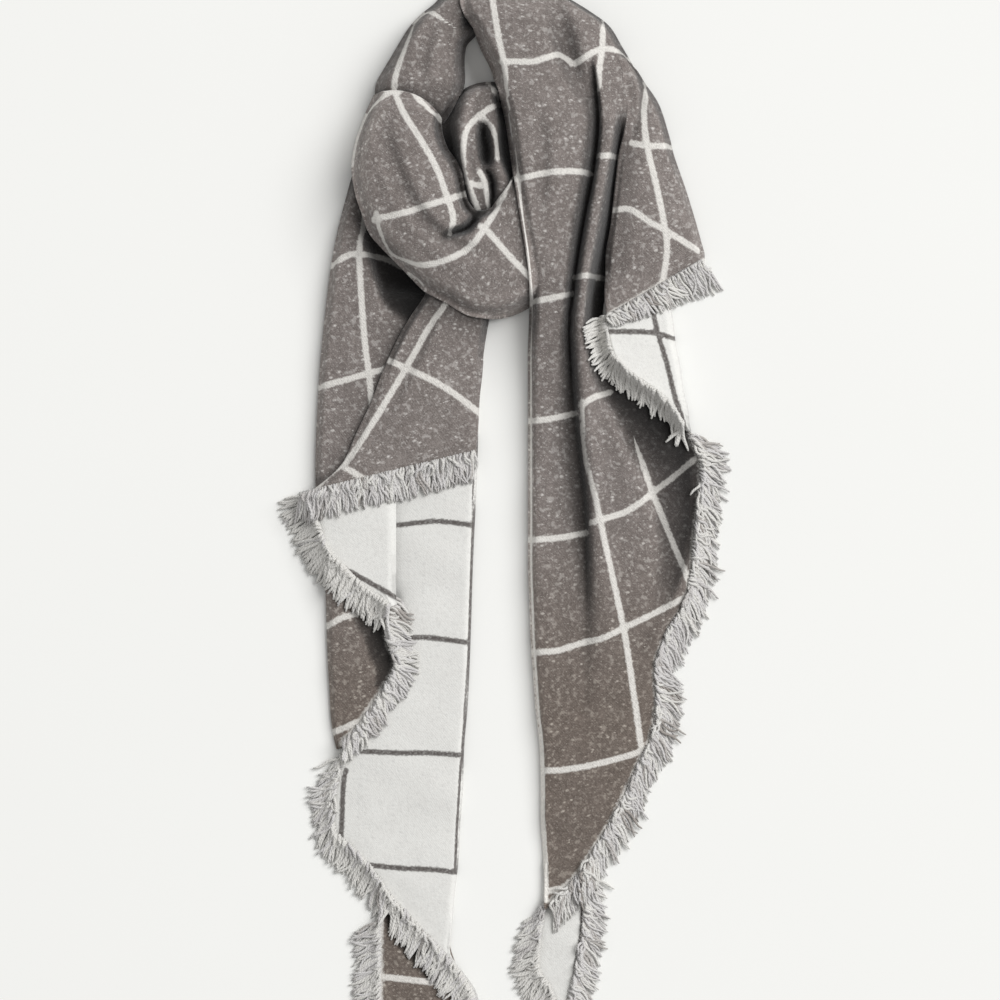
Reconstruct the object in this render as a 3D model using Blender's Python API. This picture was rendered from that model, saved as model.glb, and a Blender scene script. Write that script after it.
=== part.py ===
"""Blanket scarf laid flat, knotted once on itself, with two pleated tails and a fringed hem.

The scarf is one double-faced cloth. It is laid down here as it is laid down by hand: panel by
panel, each one on what lies under it. A panel is a closed wall of cloth, lofted through the
sections of a short table. Hidden layers are low rounded solids, called hearts. Every panel with
a hem gets a backing strip, parted from the cloth's edge, with the strands of its fringe.

All tables are in millimetres: X to the right, Y from the tails up to the neck loop, Z up.
"""
import math
from collections import namedtuple

import bpy
import numpy as np

# ------------------------------------------------------------------ driving sizes, millimetres
CLOTH = 2.6            # thickness of the double-faced cloth
GAP = 0.35             # air between two layers, and between a hem and its fringe backing
TAIL_STEP = 20.0       # distance between the sections of a long wall
KNOT_STEP = 11.0       # the same in the knot and in short panels
PILE_CELL = 1.5        # square of the grid that records how high the pile is
FRINGE_PITCH = 7.0     # distance between two strands
FRINGE_LENGTH = 22.0   # length of a strand
BACKING_WIDTH = 2.2    # width of the strip that carries the strands
STRAND_THICKNESS = 1.7
STRAND_HALF_WIDTH = 0.38   # of a strand at its bend, as a share of its root
STRAND_BEND = 0.62     # where a strand bends, as a share of its length
STRAND_UNEVEN = 4.0    # degrees by which a strand may stray from its lean
STRAND_CLEAR = 0.4     # height of a strand above the floor
BACKING_THICKNESS = 2.34
CENTRE_X = 3.475       # middle of the laid scarf in the tables' own frame
CENTRE_Y = 1.74
CREASE_MEETS = 9.0     # a crease passes a section when it is nearer to it than this
HEART_RIM = 1.2        # least height of a heart
STEEP_WALL = 1.7       # most that a steep wall thickens upwards, in thicknesses of cloth
EDGE_CROWDING = 0.65   # how far the columns of a wall crowd towards its edges
MITRE_LIMIT = 0.6
NET = 2.0              # points of the net that feels for the pile, for each of its cells
GENTLE_LIFTS = 12
FULL_LIFTS = 2
SPREAD_PASSES = 2
SEED = 12
MILLIMETRE = 0.001

# ------------------------------------------------------------------ tables
# A section runs from the left edge to the right edge of a panel. left_high and right_high are
# the heights of its upper face near each edge, swell is what its middle rises above them, and
# bow bends the section towards the start of the panel.
Section = namedtuple("Section", "left_x left_y right_x right_y left_high right_high swell bow")

# A crease is a trough (low < 0) or a pleat's ridge (low > 0) along a few places, with its reach
# on the left and on the right of its way.
Crease = namedtuple("Crease", "x y low left_reach right_reach")

# Falls are the distances in which a panel comes down to what lies under it at each of its edges:
# short at a rolled fold, long at a hem that lies flat.
Falls = namedtuple("Falls", "left right start end")

# A hem is one fringed edge: its side, the share of the panel's length where it starts and ends,
# and the degrees by which its strands lean towards its end, where it starts and where it ends.
Hem = namedtuple("Hem", "node side start end lean_start lean_end")

Panel = namedtuple("Panel", "node face step columns falls sections creases hems")

KNOT_HEART = [
    Section(-84, 342, -4, 349, 14, 14, 4, 0),
    Section(-94, 324, 2, 328, 17, 18, 5, 0),
    Section(-95, 300, 7, 304, 18, 19, 5, 0),
    Section(-87, 276, 12, 280, 18, 20, 5, 0),
    Section(-74, 254, 17, 256, 17, 20, 5, 0),
    Section(-55, 238, 20, 238, 16, 18, 4, 0),
    Section(-28, 230, 22, 228, 14, 15, 3, 0),
]

LEFT_TAIL_HEART = [
    Section(-124, 187, -28, 187, 6, 6, 2, 0),
    Section(-132, 112, -31, 112, 5, 5, 2, 0),
    Section(-134, 48, -33, 48, 4, 4, 1, 0),
    Section(-130, -16, -36, -16, 3, 4, 1, 0),
    Section(-127, -80, -38, -80, 3, 4, 1, 0),
    Section(-124, -128, -40, -128, 3, 3, 1, 0),
    Section(-122, -176, -42, -180, 3, 3, 1, 0),
    Section(-120, -212, -46, -228, 3, 3, 0, 0),
    Section(-104, -238, -52, -256, 3, 3, 0, 0),
]

RIGHT_TAIL_HEART = [
    Section(-4, 422, 63, 424, 10, 8, 4, 0),
    Section(1, 392, 84, 394, 17, 10, 5, 0),
    Section(8, 366, 90, 366, 18, 9, 5, 0),
    Section(28, 336, 90, 334, 16, 8, 4, 0),
    Section(49, 304, 87, 302, 8, 7, 1, 0),
    Section(52, 256, 80, 254, 7, 6, 1, 0),
    Section(49, 208, 76, 206, 8, 5, 1, 0),
    Section(34, 178, 90, 176, 10, 4, 2, 0),
    Section(28, 144, 108, 144, 9, 3, 2, 0),
    Section(26, 96, 128, 96, 8, 3, 2, 0),
    Section(26, 32, 138, 35, 7, 3, 1, 0),
    Section(26, -32, 134, -32, 6, 3, 1, 0),
    Section(29, -96, 108, -92, 5, 3, 1, 0),
    Section(33, -152, 102, -149, 4, 3, 1, 0),
    Section(35, -200, 80, -195, 4, 3, 0, 0),
    Section(40, -232, 64, -227, 3, 3, 0, 0),
]

LEFT_TAIL_TIP = [
    Section(-95, -272, -52, -270, 3, 3, 0, 0),
    Section(-101, -300, -46, -300, 3, 3, 0, 0),
    Section(-102, -324, -45, -324, 3, 3, 1, 0),
    Section(-102, -348, -36, -350, 3, 3, 1, 0),
    Section(-102, -368, -29, -368, 3, 3, 1, 0),
    Section(-98, -392, -32, -390, 3, 3, 1, 0),
    Section(-86, -414, -44, -412, 3, 3, 0, 0),
    Section(-70, -430, -57, -430, 3, 3, 0, 0),
]

LEFT_TAIL_LONG = [
    Section(-124, 196, -20, 192, 8, 10, 1, 0),
    Section(-133, 150, -20, 150, 8, 10, 1, 0),
    Section(-137, 112, -22, 112, 7, 9, 1, 0),
    Section(-139, 48, -24, 48, 6, 8, 1, 0),
    Section(-137, -16, -27, -16, 6, 8, 1, 0),
    Section(-134, -80, -29, -80, 6, 8, 1, 0),
    Section(-131, -128, -31, -128, 6, 7, 1, 0),
    Section(-130, -162, -34, -164, 6, 7, 1, 0),
    Section(-134, -184, -35, -196, 5, 7, 1, 0),
    Section(-139, -208, -37, -226, 4, 6, 1, 0),
    Section(-138, -232, -38, -250, 4, 6, 1, 0),
    Section(-126, -246, -40, -270, 4, 6, 1, 0),
    Section(-110, -262, -42, -288, 5, 6, 1, 0),
    Section(-94, -284, -43, -304, 5, 6, 0, 0),
    Section(-76, -305, -44, -317, 5, 6, 0, 0),
    Section(-60, -322, -45, -326, 5, 6, 0, 0),
    Section(-49, -334, -42, -334, 5, 5, 0, 0),
    Section(-39, -346, -34, -345, 5, 5, 0, 0),
    Section(-29, -361, -24, -359, 4, 4, 0, 0),
    Section(-25, -370, -21, -368, 4, 4, 0, 0),
]

LEFT_TAIL_OUTER = [
    Section(-121, 291, -106, 286, 14, 14, 0, 0),
    Section(-126, 272, -98, 261, 16, 15, 1, 0),
    Section(-132, 248, -84, 237, 17, 15, 2, 0),
    Section(-137, 222, -68, 218, 16, 14, 2, 0),
    Section(-141, 192, -62, 192, 15, 13, 2, 0),
    Section(-146, 144, -80, 144, 13, 12, 2, 0),
    Section(-149, 96, -88, 96, 12, 11, 1, 0),
    Section(-150, 48, -92, 48, 11, 10, 1, 0),
    Section(-146, -4, -92, -4, 10, 9, 1, 0),
    Section(-142, -44, -90, -46, 10, 9, 1, 0),
    Section(-141, -80, -85, -75, 9, 9, 1, 0),
    Section(-140, -102, -85, -96, 9, 8, 1, 0),
    Section(-139, -120, -95, -118, 8, 8, 1, 0),
    Section(-138, -142, -108, -138, 8, 7, 0, 0),
    Section(-136, -158, -119, -153, 7, 7, 0, 0),
    Section(-134, -167, -128, -162, 7, 7, 0, 0),
]

LEFT_TAIL_PLEAT = [
    Section(-92, 134, -82, 134, 12, 12, 0, 0),
    Section(-105, 96, -85, 98, 12, 12, 0, 0),
    Section(-118, 66, -86, 67, 12, 12, 0, 0),
    Section(-137, 45, -86, 46, 11, 12, 0, 0),
    Section(-157, 31, -87, 32, 9, 12, 0, 0),
    Section(-150, 13, -87, 16, 9, 12, 0, 0),
    Section(-142, -7, -87, -1, 10, 12, 0, 0),
    Section(-130, -21, -87, -18, 10, 12, 0, 0),
    Section(-117, -34, -87, -32, 10, 12, 0, 0),
    Section(-101, -46, -87, -44, 10, 12, 0, 0),
    Section(-92, -53, -86, -51, 10, 11, 0, 0),
]

LEFT_TAIL_FRONT = [
    Section(-50, 222, -22, 222, 18, 18, 2, 0),
    Section(-58, 205, -17, 200, 20, 18, 4, 0),
    Section(-65, 192, -14, 181, 21, 17, 5, 0),
    Section(-76, 176, -16, 166, 21, 16, 5, 0),
    Section(-86, 158, -18, 152, 20, 15, 5, 0),
    Section(-96, 136, -19, 133, 19, 14, 4, 0),
    Section(-106, 110, -21, 114, 18, 13, 4, 0),
    Section(-118, 85, -22, 94, 16, 12, 3, 0),
    Section(-129, 61, -23, 80, 15, 12, 2, 0),
    Section(-148, 43, -24, 72, 13, 11, 2, 0),
    Section(-164, 32, -24, 66, 11, 11, 1, 0),
]

RIGHT_TAIL_TIP = [
    Section(36, -244, 69, -242, 3, 3, 0, 0),
    Section(34, -268, 66, -266, 3, 3, 0, 0),
    Section(30, -292, 65, -292, 3, 3, 1, 0),
    Section(27, -312, 63, -314, 3, 3, 1, 0),
    Section(25, -332, 60, -332, 3, 3, 1, 0),
    Section(26, -346, 57, -348, 3, 3, 1, 0),
    Section(34, -358, 54, -360, 3, 3, 0, 0),
    Section(40, -371, 52, -371, 3, 3, 0, 0),
    Section(45, -382, 50, -382, 3, 3, 0, 0),
]

KNOT_CORE = [
    Section(-33, 358, -2, 363, 20, 20, 2, 3),
    Section(-39, 350, 2, 352, 24, 22, 3, 2),
    Section(-46, 342, 6, 339, 26, 24, 3, 1),
    Section(-52, 330, 9, 326, 26, 25, 3, 0),
    Section(-53, 316, 10, 312, 26, 26, 3, 0),
    Section(-48, 299, 12, 296, 26, 26, 3, 0),
    Section(-39, 282, 14, 280, 26, 26, 3, 0),
    Section(-34, 266, 15, 264, 25, 25, 2, 0),
    Section(-28, 252, 15, 250, 24, 24, 1, 0),
]

NECK_LOOP = [
    Section(-46, 439, -18, 440, 8, 8, 4, 0),
    Section(-55, 428, -18, 428, 16, 14, 4, 0),
    Section(-66, 419, -20, 414, 20, 16, 5, 0),
    Section(-75, 409, -25, 404, 22, 18, 6, 0),
    Section(-82, 398, -32, 396, 23, 19, 7, 0),
    Section(-89, 386, -34, 386, 24, 20, 7, 0),
    Section(-95, 376, -34, 376, 24, 21, 7, 0),
    Section(-101, 365, -34, 365, 24, 22, 7, 0),
    Section(-102, 354, -37, 354, 22, 23, 5, 0),
    Section(-97, 342, -43, 342, 21, 23, 4, 0),
    Section(-90, 331, -49, 332, 20, 23, 3, 0),
]

KNOT_WRAP = [
    Section(-104, 354, -51, 335, 27, 31, 3, 10),
    Section(-111, 338, -51, 330, 28, 33, 5, 5),
    Section(-118, 318, -50, 322, 29, 34, 7, 2),
    Section(-121, 298, -46, 311, 29, 34, 8, 0),
    Section(-119, 278, -40, 302, 29, 34, 9, 0),
    Section(-114, 262, -35, 291, 29, 34, 9, 0),
    Section(-108, 246, -33, 280, 29, 34, 9, 0),
    Section(-98, 234, -31, 271, 29, 34, 9, 0),
    Section(-86, 222, -28, 265, 29, 34, 9, 0),
    Section(-74, 210, -23, 261, 30, 34, 9, 0),
    Section(-62, 198, -17, 261, 30, 34, 9, 0),
    Section(-46, 189, -11, 263, 30, 34, 9, 0),
    Section(-28, 179, -6, 269, 29, 33, 9, 0),
    Section(-8, 178, 0, 277, 28, 33, 8, 0),
    Section(11, 183, 6, 286, 26, 32, 7, 0),
    Section(28, 194, 12, 298, 24, 31, 5, 0),
    Section(41, 206, 20, 307, 22, 30, 3, 0),
]

RIGHT_TAIL_FRONT = [
    Section(-20, 444, 34, 443, 8, 8, 6, 5),
    Section(-34, 432, 50, 432, 20, 16, 8, 2),
    Section(-33, 421, 66, 422, 29, 18, 8, 0),
    Section(-24, 408, 82, 410, 33, 18, 8, 0),
    Section(-17, 392, 92, 394, 35, 17, 8, 0),
    Section(-9, 376, 98, 374, 37, 16, 8, 0),
    Section(-5, 360, 101, 354, 39, 15, 8, 0),
    Section(1, 339, 102, 333, 41, 14, 9, 0),
    Section(5, 312, 99, 308, 42, 13, 9, 0),
    Section(9, 280, 95, 276, 42, 12, 9, 0),
    Section(14, 248, 91, 242, 40, 11, 8, 0),
    Section(19, 216, 90, 211, 36, 9, 8, 0),
    Section(21, 184, 103, 181, 29, 8, 8, 0),
    Section(20, 152, 124, 152, 23, 6, 7, 0),
    Section(20, 120, 137, 122, 19, 5, 6, 0),
    Section(20, 88, 147, 88, 17, 5, 5, 0),
    Section(20, 60, 158, 62, 16, 5, 4, 0),
    Section(20, 32, 157, 38, 15, 5, 4, 0),
    Section(20, 4, 154, 8, 14, 5, 4, 0),
    Section(20, -24, 151, -24, 13, 5, 4, 0),
    Section(21, -52, 145, -51, 12, 5, 4, 0),
    Section(22, -80, 130, -77, 12, 5, 3, 0),
    Section(24, -108, 122, -101, 11, 5, 3, 0),
    Section(26, -136, 122, -128, 11, 5, 2, 0),
    Section(29, -164, 118, -158, 10, 5, 2, 0),
    Section(30, -192, 102, -182, 9, 5, 1, 0),
    Section(30, -220, 90, -210, 9, 5, 1, 0),
    Section(31, -244, 79, -232, 8, 6, 0, 0),
    Section(32, -264, 68, -253, 8, 6, 0, 0),
    Section(32, -278, 58, -269, 7, 6, 0, 0),
    Section(32, -288, 49, -279, 7, 6, 0, 0),
    Section(32, -294, 39, -289, 6, 6, 0, 0),
]

RIGHT_TAIL_TURN = [
    Section(84, 214, 127, 216, 10, 9, 0, 0),
    Section(81, 192, 130, 194, 10, 9, 0, 0),
    Section(79, 174, 133, 174, 11, 9, 0, 0),
    Section(81, 159, 135, 156, 11, 9, 0, 0),
    Section(86, 146, 138, 142, 11, 9, 0, 0),
    Section(100, 132, 140, 128, 10, 9, 0, 0),
    Section(112, 124, 142, 116, 10, 9, 0, 0),
    Section(124, 115, 145, 104, 9, 9, 0, 0),
    Section(136, 102, 146, 94, 9, 8, 0, 0),
    Section(142, 91, 148, 87, 8, 8, 0, 0),
]

RIGHT_TAIL_FLAP = [
    Section(86, 405, 90, 402, 14, 12, 0, 0),
    Section(91, 387, 100, 384, 17, 13, 0, 0),
    Section(94, 366, 110, 366, 19, 14, 1, 0),
    Section(97, 344, 122, 347, 20, 14, 2, 0),
    Section(95, 324, 130, 322, 21, 14, 3, 0),
    Section(91, 306, 134, 306, 22, 13, 3, 0),
    Section(88, 280, 143, 280, 22, 12, 3, 0),
    Section(85, 252, 151, 254, 21, 11, 3, 0),
    Section(82, 232, 156, 236, 19, 10, 2, 0),
    Section(81, 212, 158, 229, 17, 9, 1, 0),
    Section(80, 192, 158, 225, 15, 9, 1, 0),
    Section(82, 176, 158, 221, 14, 8, 0, 0),
]

# The front pleat of the right tail ends in a deep valley, and a narrow pleat lies beside it.
RIGHT_TAIL_CREASES = [
    [
        Crease(73, 384, 0, 14, 6),
        Crease(74, 348, -8, 16, 6),
        Crease(72, 298, -11, 18, 6),
        Crease(63, 255, -12, 18, 6),
        Crease(58, 222, -11, 18, 6),
        Crease(53, 177, -9, 18, 7),
        Crease(52, 151, -7, 16, 8),
        Crease(58, 101, -5, 16, 9),
        Crease(65, 62, -3, 14, 12),
        Crease(70, 10, 0, 12, 12),
    ],
    [
        Crease(86, 330, 0, 8, 8),
        Crease(80, 300, 4, 9, 9),
        Crease(74, 262, 5, 9, 10),
        Crease(70, 222, 5, 9, 11),
        Crease(66, 178, 4, 10, 14),
        Crease(68, 146, 3, 11, 18),
        Crease(78, 90, 2, 14, 22),
        Crease(90, 40, 0, 16, 24),
    ],
]

# Soft hollows run round the wrap with its band.
KNOT_WRAP_CREASES = [
    [
        Crease(-88, 346, 0, 6, 10),
        Crease(-84, 312, -4, 9, 12),
        Crease(-74, 280, -5, 9, 12),
        Crease(-58, 252, -5, 9, 12),
        Crease(-36, 232, -4, 9, 12),
        Crease(-8, 226, 0, 8, 10),
    ],
]

# The cloth gathers inside the knot.
KNOT_CORE_CREASES = [
    [
        Crease(-24, 360, 0, 4, 5),
        Crease(-30, 338, -5, 6, 5),
        Crease(-30, 312, -6, 6, 5),
        Crease(-20, 286, -4, 6, 5),
        Crease(-16, 262, 0, 5, 5),
    ],
    [
        Crease(-10, 356, 0, 5, 5),
        Crease(-6, 330, -7, 6, 6),
        Crease(-4, 304, -7, 6, 6),
        Crease(-4, 276, 0, 5, 5),
    ],
]

LEFT_TAIL_CREASES = [
    [
        Crease(-48, 204, 0, 6, 8),
        Crease(-62, 166, -3, 8, 12),
        Crease(-84, 120, -2, 8, 14),
        Crease(-104, 80, 0, 8, 14),
    ],
]

# Panels are in the order in which they are laid down.
PANELS = [
    Panel("knot_heart", "grey", KNOT_STEP, 7, Falls(12, 12, 10, 10), KNOT_HEART, [], []),
    Panel("left_tail_heart", "cream", TAIL_STEP, 6, Falls(8, 8, 8, 8), LEFT_TAIL_HEART, [], []),
    Panel("right_tail_heart", "grey", TAIL_STEP, 7, Falls(10, 10, 10, 8), RIGHT_TAIL_HEART, [], []),
    Panel("left_tail_tip", "grey", KNOT_STEP, 7, Falls(6, 6, 6, 6), LEFT_TAIL_TIP, [], [
        Hem("fringe_left_tip", "left", 0.20, 0.86, 38, 20),
        Hem("fringe_left_tip_end", "right", 0.60, 0.98, 50, 10),
    ]),
    Panel("left_tail_long", "cream", TAIL_STEP, 9, Falls(8, 5, 10, 6), LEFT_TAIL_LONG, [], [
        Hem("fringe_left_long", "left", 0.64, 1.0, 40, 10),
    ]),
    Panel("left_tail_outer", "grey", TAIL_STEP, 8, Falls(7, 8, 8, 8), LEFT_TAIL_OUTER, [], [
        Hem("fringe_left_outer", "right", 0.73, 1.0, 38, -8),
    ]),
    Panel("left_tail_pleat", "cream", KNOT_STEP, 6, Falls(8, 5, 6, 6), LEFT_TAIL_PLEAT, [], [
        Hem("fringe_left_pleat", "left", 0.53, 1.0, 12, 22),
    ]),
    Panel("left_tail_front", "grey", KNOT_STEP, 9, Falls(7, 7, 8, 9), LEFT_TAIL_FRONT,
          LEFT_TAIL_CREASES, [
              Hem("fringe_left_front", "end", 0.0, 1.0, -22, -18),
          ]),
    Panel("right_tail_tip", "cream", KNOT_STEP, 6, Falls(6, 6, 6, 6), RIGHT_TAIL_TIP, [], [
        Hem("fringe_right_tip_inner", "left", 0.34, 0.98, 50, 15),
        Hem("fringe_right_tip_outer", "right", 0.16, 0.98, 38, 20),
    ]),
    Panel("knot_core", "grey", KNOT_STEP, 9, Falls(7, 8, 7, 8), KNOT_CORE, KNOT_CORE_CREASES, []),
    Panel("neck_loop", "grey", KNOT_STEP, 8, Falls(12, 9, 14, 10), NECK_LOOP, [], []),
    Panel("knot_wrap", "grey", KNOT_STEP, 10, Falls(15, 10, 8, 10), KNOT_WRAP, KNOT_WRAP_CREASES, []),
    Panel("right_tail_front", "grey", TAIL_STEP, 16, Falls(9, 10, 14, 8), RIGHT_TAIL_FRONT,
          RIGHT_TAIL_CREASES, [
              Hem("fringe_right_front", "right", 0.47, 1.0, 14, 34),
          ]),
    Panel("right_tail_turn", "cream", KNOT_STEP, 6, Falls(9, 5, 8, 6), RIGHT_TAIL_TURN, [], [
        Hem("fringe_right_turn", "left", 0.26, 1.0, 20, -4),
    ]),
    Panel("right_tail_flap", "grey", KNOT_STEP, 8, Falls(5, 8, 6, 9), RIGHT_TAIL_FLAP, [], [
        Hem("fringe_right_flap", "end", 0.0, 1.0, -10, 0),
    ]),
]

HEARTS = ("knot_heart", "left_tail_heart", "right_tail_heart")

# ------------------------------------------------------------------ finishes
FACE_COLOURS = {
    "grey": (0.190, 0.168, 0.160, 1.0),
    "cream": (0.760, 0.745, 0.710, 1.0),
    "fringe": (0.520, 0.495, 0.480, 1.0),
}
CLOTH_ROUGHNESS = 0.92


def cloth_material(name):
    """One plain woollen finish for each face of the cloth and for its fringe."""
    material = bpy.data.materials.get(name) or bpy.data.materials.new(name)
    material.use_nodes = True
    shader = material.node_tree.nodes["Principled BSDF"]
    shader.inputs["Base Color"].default_value = FACE_COLOURS[name]
    shader.inputs["Roughness"].default_value = CLOTH_ROUGHNESS
    shader.inputs["Metallic"].default_value = 0.0
    return material


# ------------------------------------------------------------------ curves through a table
def curve_through(table, places):
    """Read a table as one smooth curve, at places counted in rows from 0."""
    rows = np.asarray(table, dtype=float)
    rows = np.vstack([2 * rows[0] - rows[1], rows, 2 * rows[-1] - rows[-2]])
    first = np.clip(np.floor(places).astype(int), 0, len(table) - 2)
    t = (np.asarray(places, dtype=float) - first)[:, None]
    before, here, there, beyond = (rows[first + k] for k in range(4))
    return 0.5 * (2 * here + (there - before) * t
                  + (2 * before - 5 * here + 4 * there - beyond) * t ** 2
                  + (3 * here - before - 3 * there + beyond) * t ** 3)


def even_sections(table, step):
    """Sections at equal distances along the middle of a panel."""
    fine = np.linspace(0, len(table) - 1, 40 * len(table))
    rows = curve_through(table, fine)
    middle = (rows[:, 0:2] + rows[:, 2:4]) / 2
    run = np.concatenate([[0.0], np.cumsum(np.linalg.norm(np.diff(middle, axis=0), axis=1))])
    count = max(4, int(round(run[-1] / step)) + 1)
    places = np.interp(np.linspace(0, run[-1], count), run, fine)
    return curve_through(table, places)


def rounded(distance, fall):
    """Quarter of a round edge: 0 at the edge and 1 from the distance of the fall inwards."""
    t = np.clip(distance / fall, 0, 1)
    return np.sqrt(1 - (1 - t) ** 2)


def crease_depth(x, y, way):
    """How far a crease lowers or raises the points x, y."""
    fine = curve_through(way, np.linspace(0, len(way) - 1, 12 * len(way)))
    offset = np.stack([x[..., None] - fine[:, 0], y[..., None] - fine[:, 1]], axis=-1)
    nearest = np.argmin((offset ** 2).sum(axis=-1), axis=-1)
    ahead = np.gradient(fine[:, 0:2], axis=0)[nearest]
    away = np.take_along_axis(offset, nearest[..., None, None], axis=-2)[..., 0, :]
    side = ahead[..., 0] * away[..., 1] - ahead[..., 1] * away[..., 0]
    reach = np.where(side > 0, fine[nearest, 3], fine[nearest, 4])
    t = np.clip(np.linalg.norm(away, axis=-1) / reach, 0, 1)
    return fine[nearest, 2] * (1 - t ** 2) ** 2


# ------------------------------------------------------------------ the pile
class Pile:
    """Height of all that has been laid down so far, on a square grid."""

    LOW = np.array([-260.0, -520.0])
    SIZE = np.array([520.0, 1040.0])

    def __init__(self):
        cells = (self.SIZE / PILE_CELL).astype(int)
        self.high = np.zeros(cells)

    def cell(self, xy):
        """Grid cell of each point."""
        index = np.floor((xy - self.LOW) / PILE_CELL).astype(int)
        return index[..., 0], index[..., 1]

    def samples(self, xy, triangles):
        """Weights of a fine net of points in each triangle, and their places."""
        corners = xy[triangles]
        longest = max(np.linalg.norm(corners[:, a] - corners[:, b], axis=-1).max()
                      for a, b in ((0, 1), (1, 2), (2, 0)))
        parts = int(math.ceil(NET * longest / PILE_CELL))
        weights = np.array([(i, j, parts - i - j) for i in range(parts + 1)
                            for j in range(parts + 1 - i)]) / parts
        return weights, np.einsum("sk,tkd->tsd", weights, corners)

    def add(self, xy, z, triangles):
        """Record a surface that has been laid down."""
        weights, places = self.samples(xy, triangles)
        np.maximum.at(self.high, self.cell(places), np.einsum("sk,tk->ts", weights, z[triangles]))

    def clear(self, places):
        """Lowest height at which a sheet is clear of the pile."""
        high = self.high[self.cell(places)]
        return np.where(high > 0, high + GAP, 0.0)

    def lift(self, xy, z, triangles):
        """Raise an underside until it is clear of all that lies under it."""
        weights, places = self.samples(xy, triangles)
        floor = self.clear(places)
        z = np.maximum(z, self.clear(xy))
        pull = weights / (weights ** 2).sum(axis=1, keepdims=True)
        for last in [False] * GENTLE_LIFTS + [True] * FULL_LIFTS:
            short = np.maximum(floor - np.einsum("sk,tk->ts", weights, z[triangles]), 0)
            if short.max() <= 0:
                break
            rise = np.zeros_like(z)
            share = np.ones_like(pull) if last else pull
            for k in range(3):
                np.maximum.at(rise, triangles[:, k], (short * share[:, k]).max(axis=1))
            z = z + rise
        return z


# ------------------------------------------------------------------ walls of cloth
def grid_triangles(rows, columns):
    """Two triangles for each cell of a grid, seen from above."""
    corner = (np.arange(rows - 1)[:, None] * columns + np.arange(columns - 1)).ravel()
    right, down, across = corner + 1, corner + columns, corner + columns + 1
    return np.concatenate([np.stack([corner, across, right], axis=1),
                           np.stack([corner, down, across], axis=1)])


def grid_rim(rows, columns):
    """The points round a grid, in order."""
    top = [(0, j) for j in range(columns)]
    side = [(i, columns - 1) for i in range(1, rows)]
    bottom = [(rows - 1, j) for j in range(columns - 2, -1, -1)]
    back = [(i, 0) for i in range(rows - 2, 0, -1)]
    return np.array([i * columns + j for i, j in top + side + bottom + back])


def spread(rise, passes):
    """Let what lifts a sheet also lift the cloth beside it, without sinking."""
    low = rise.copy()
    for _ in range(passes):
        padded = np.pad(rise, 1, mode="edge")
        mean = (padded[:-2, 1:-1] + padded[2:, 1:-1] + padded[1:-1, :-2] + padded[1:-1, 2:]) / 4
        rise = np.maximum(low, mean)
    return rise


def follow_crease(share, rows, way):
    """Shift the columns of a grid so that one of them follows a crease."""
    fine = curve_through(way, np.linspace(0, len(way) - 1, 12 * len(way)))[:, 0:2]
    start, across = rows[:, None, 0:2], (rows[:, 2:4] - rows[:, 0:2])[:, None]
    along = ((fine - start) * across).sum(axis=-1) / (across ** 2).sum(axis=-1)
    apart = np.linalg.norm(start + along[..., None] * across - fine, axis=-1)
    nearest = np.argmin(apart, axis=1)
    number = np.arange(len(rows))
    met = apart[number, nearest] < CREASE_MEETS
    place = np.interp(number, number[met], along[number, nearest][met])
    column = int(np.argmin(np.abs(share - place.mean())))
    return np.array([np.interp(share, [0, share[column], 1], [0, at, 1]) for at in place])


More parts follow.
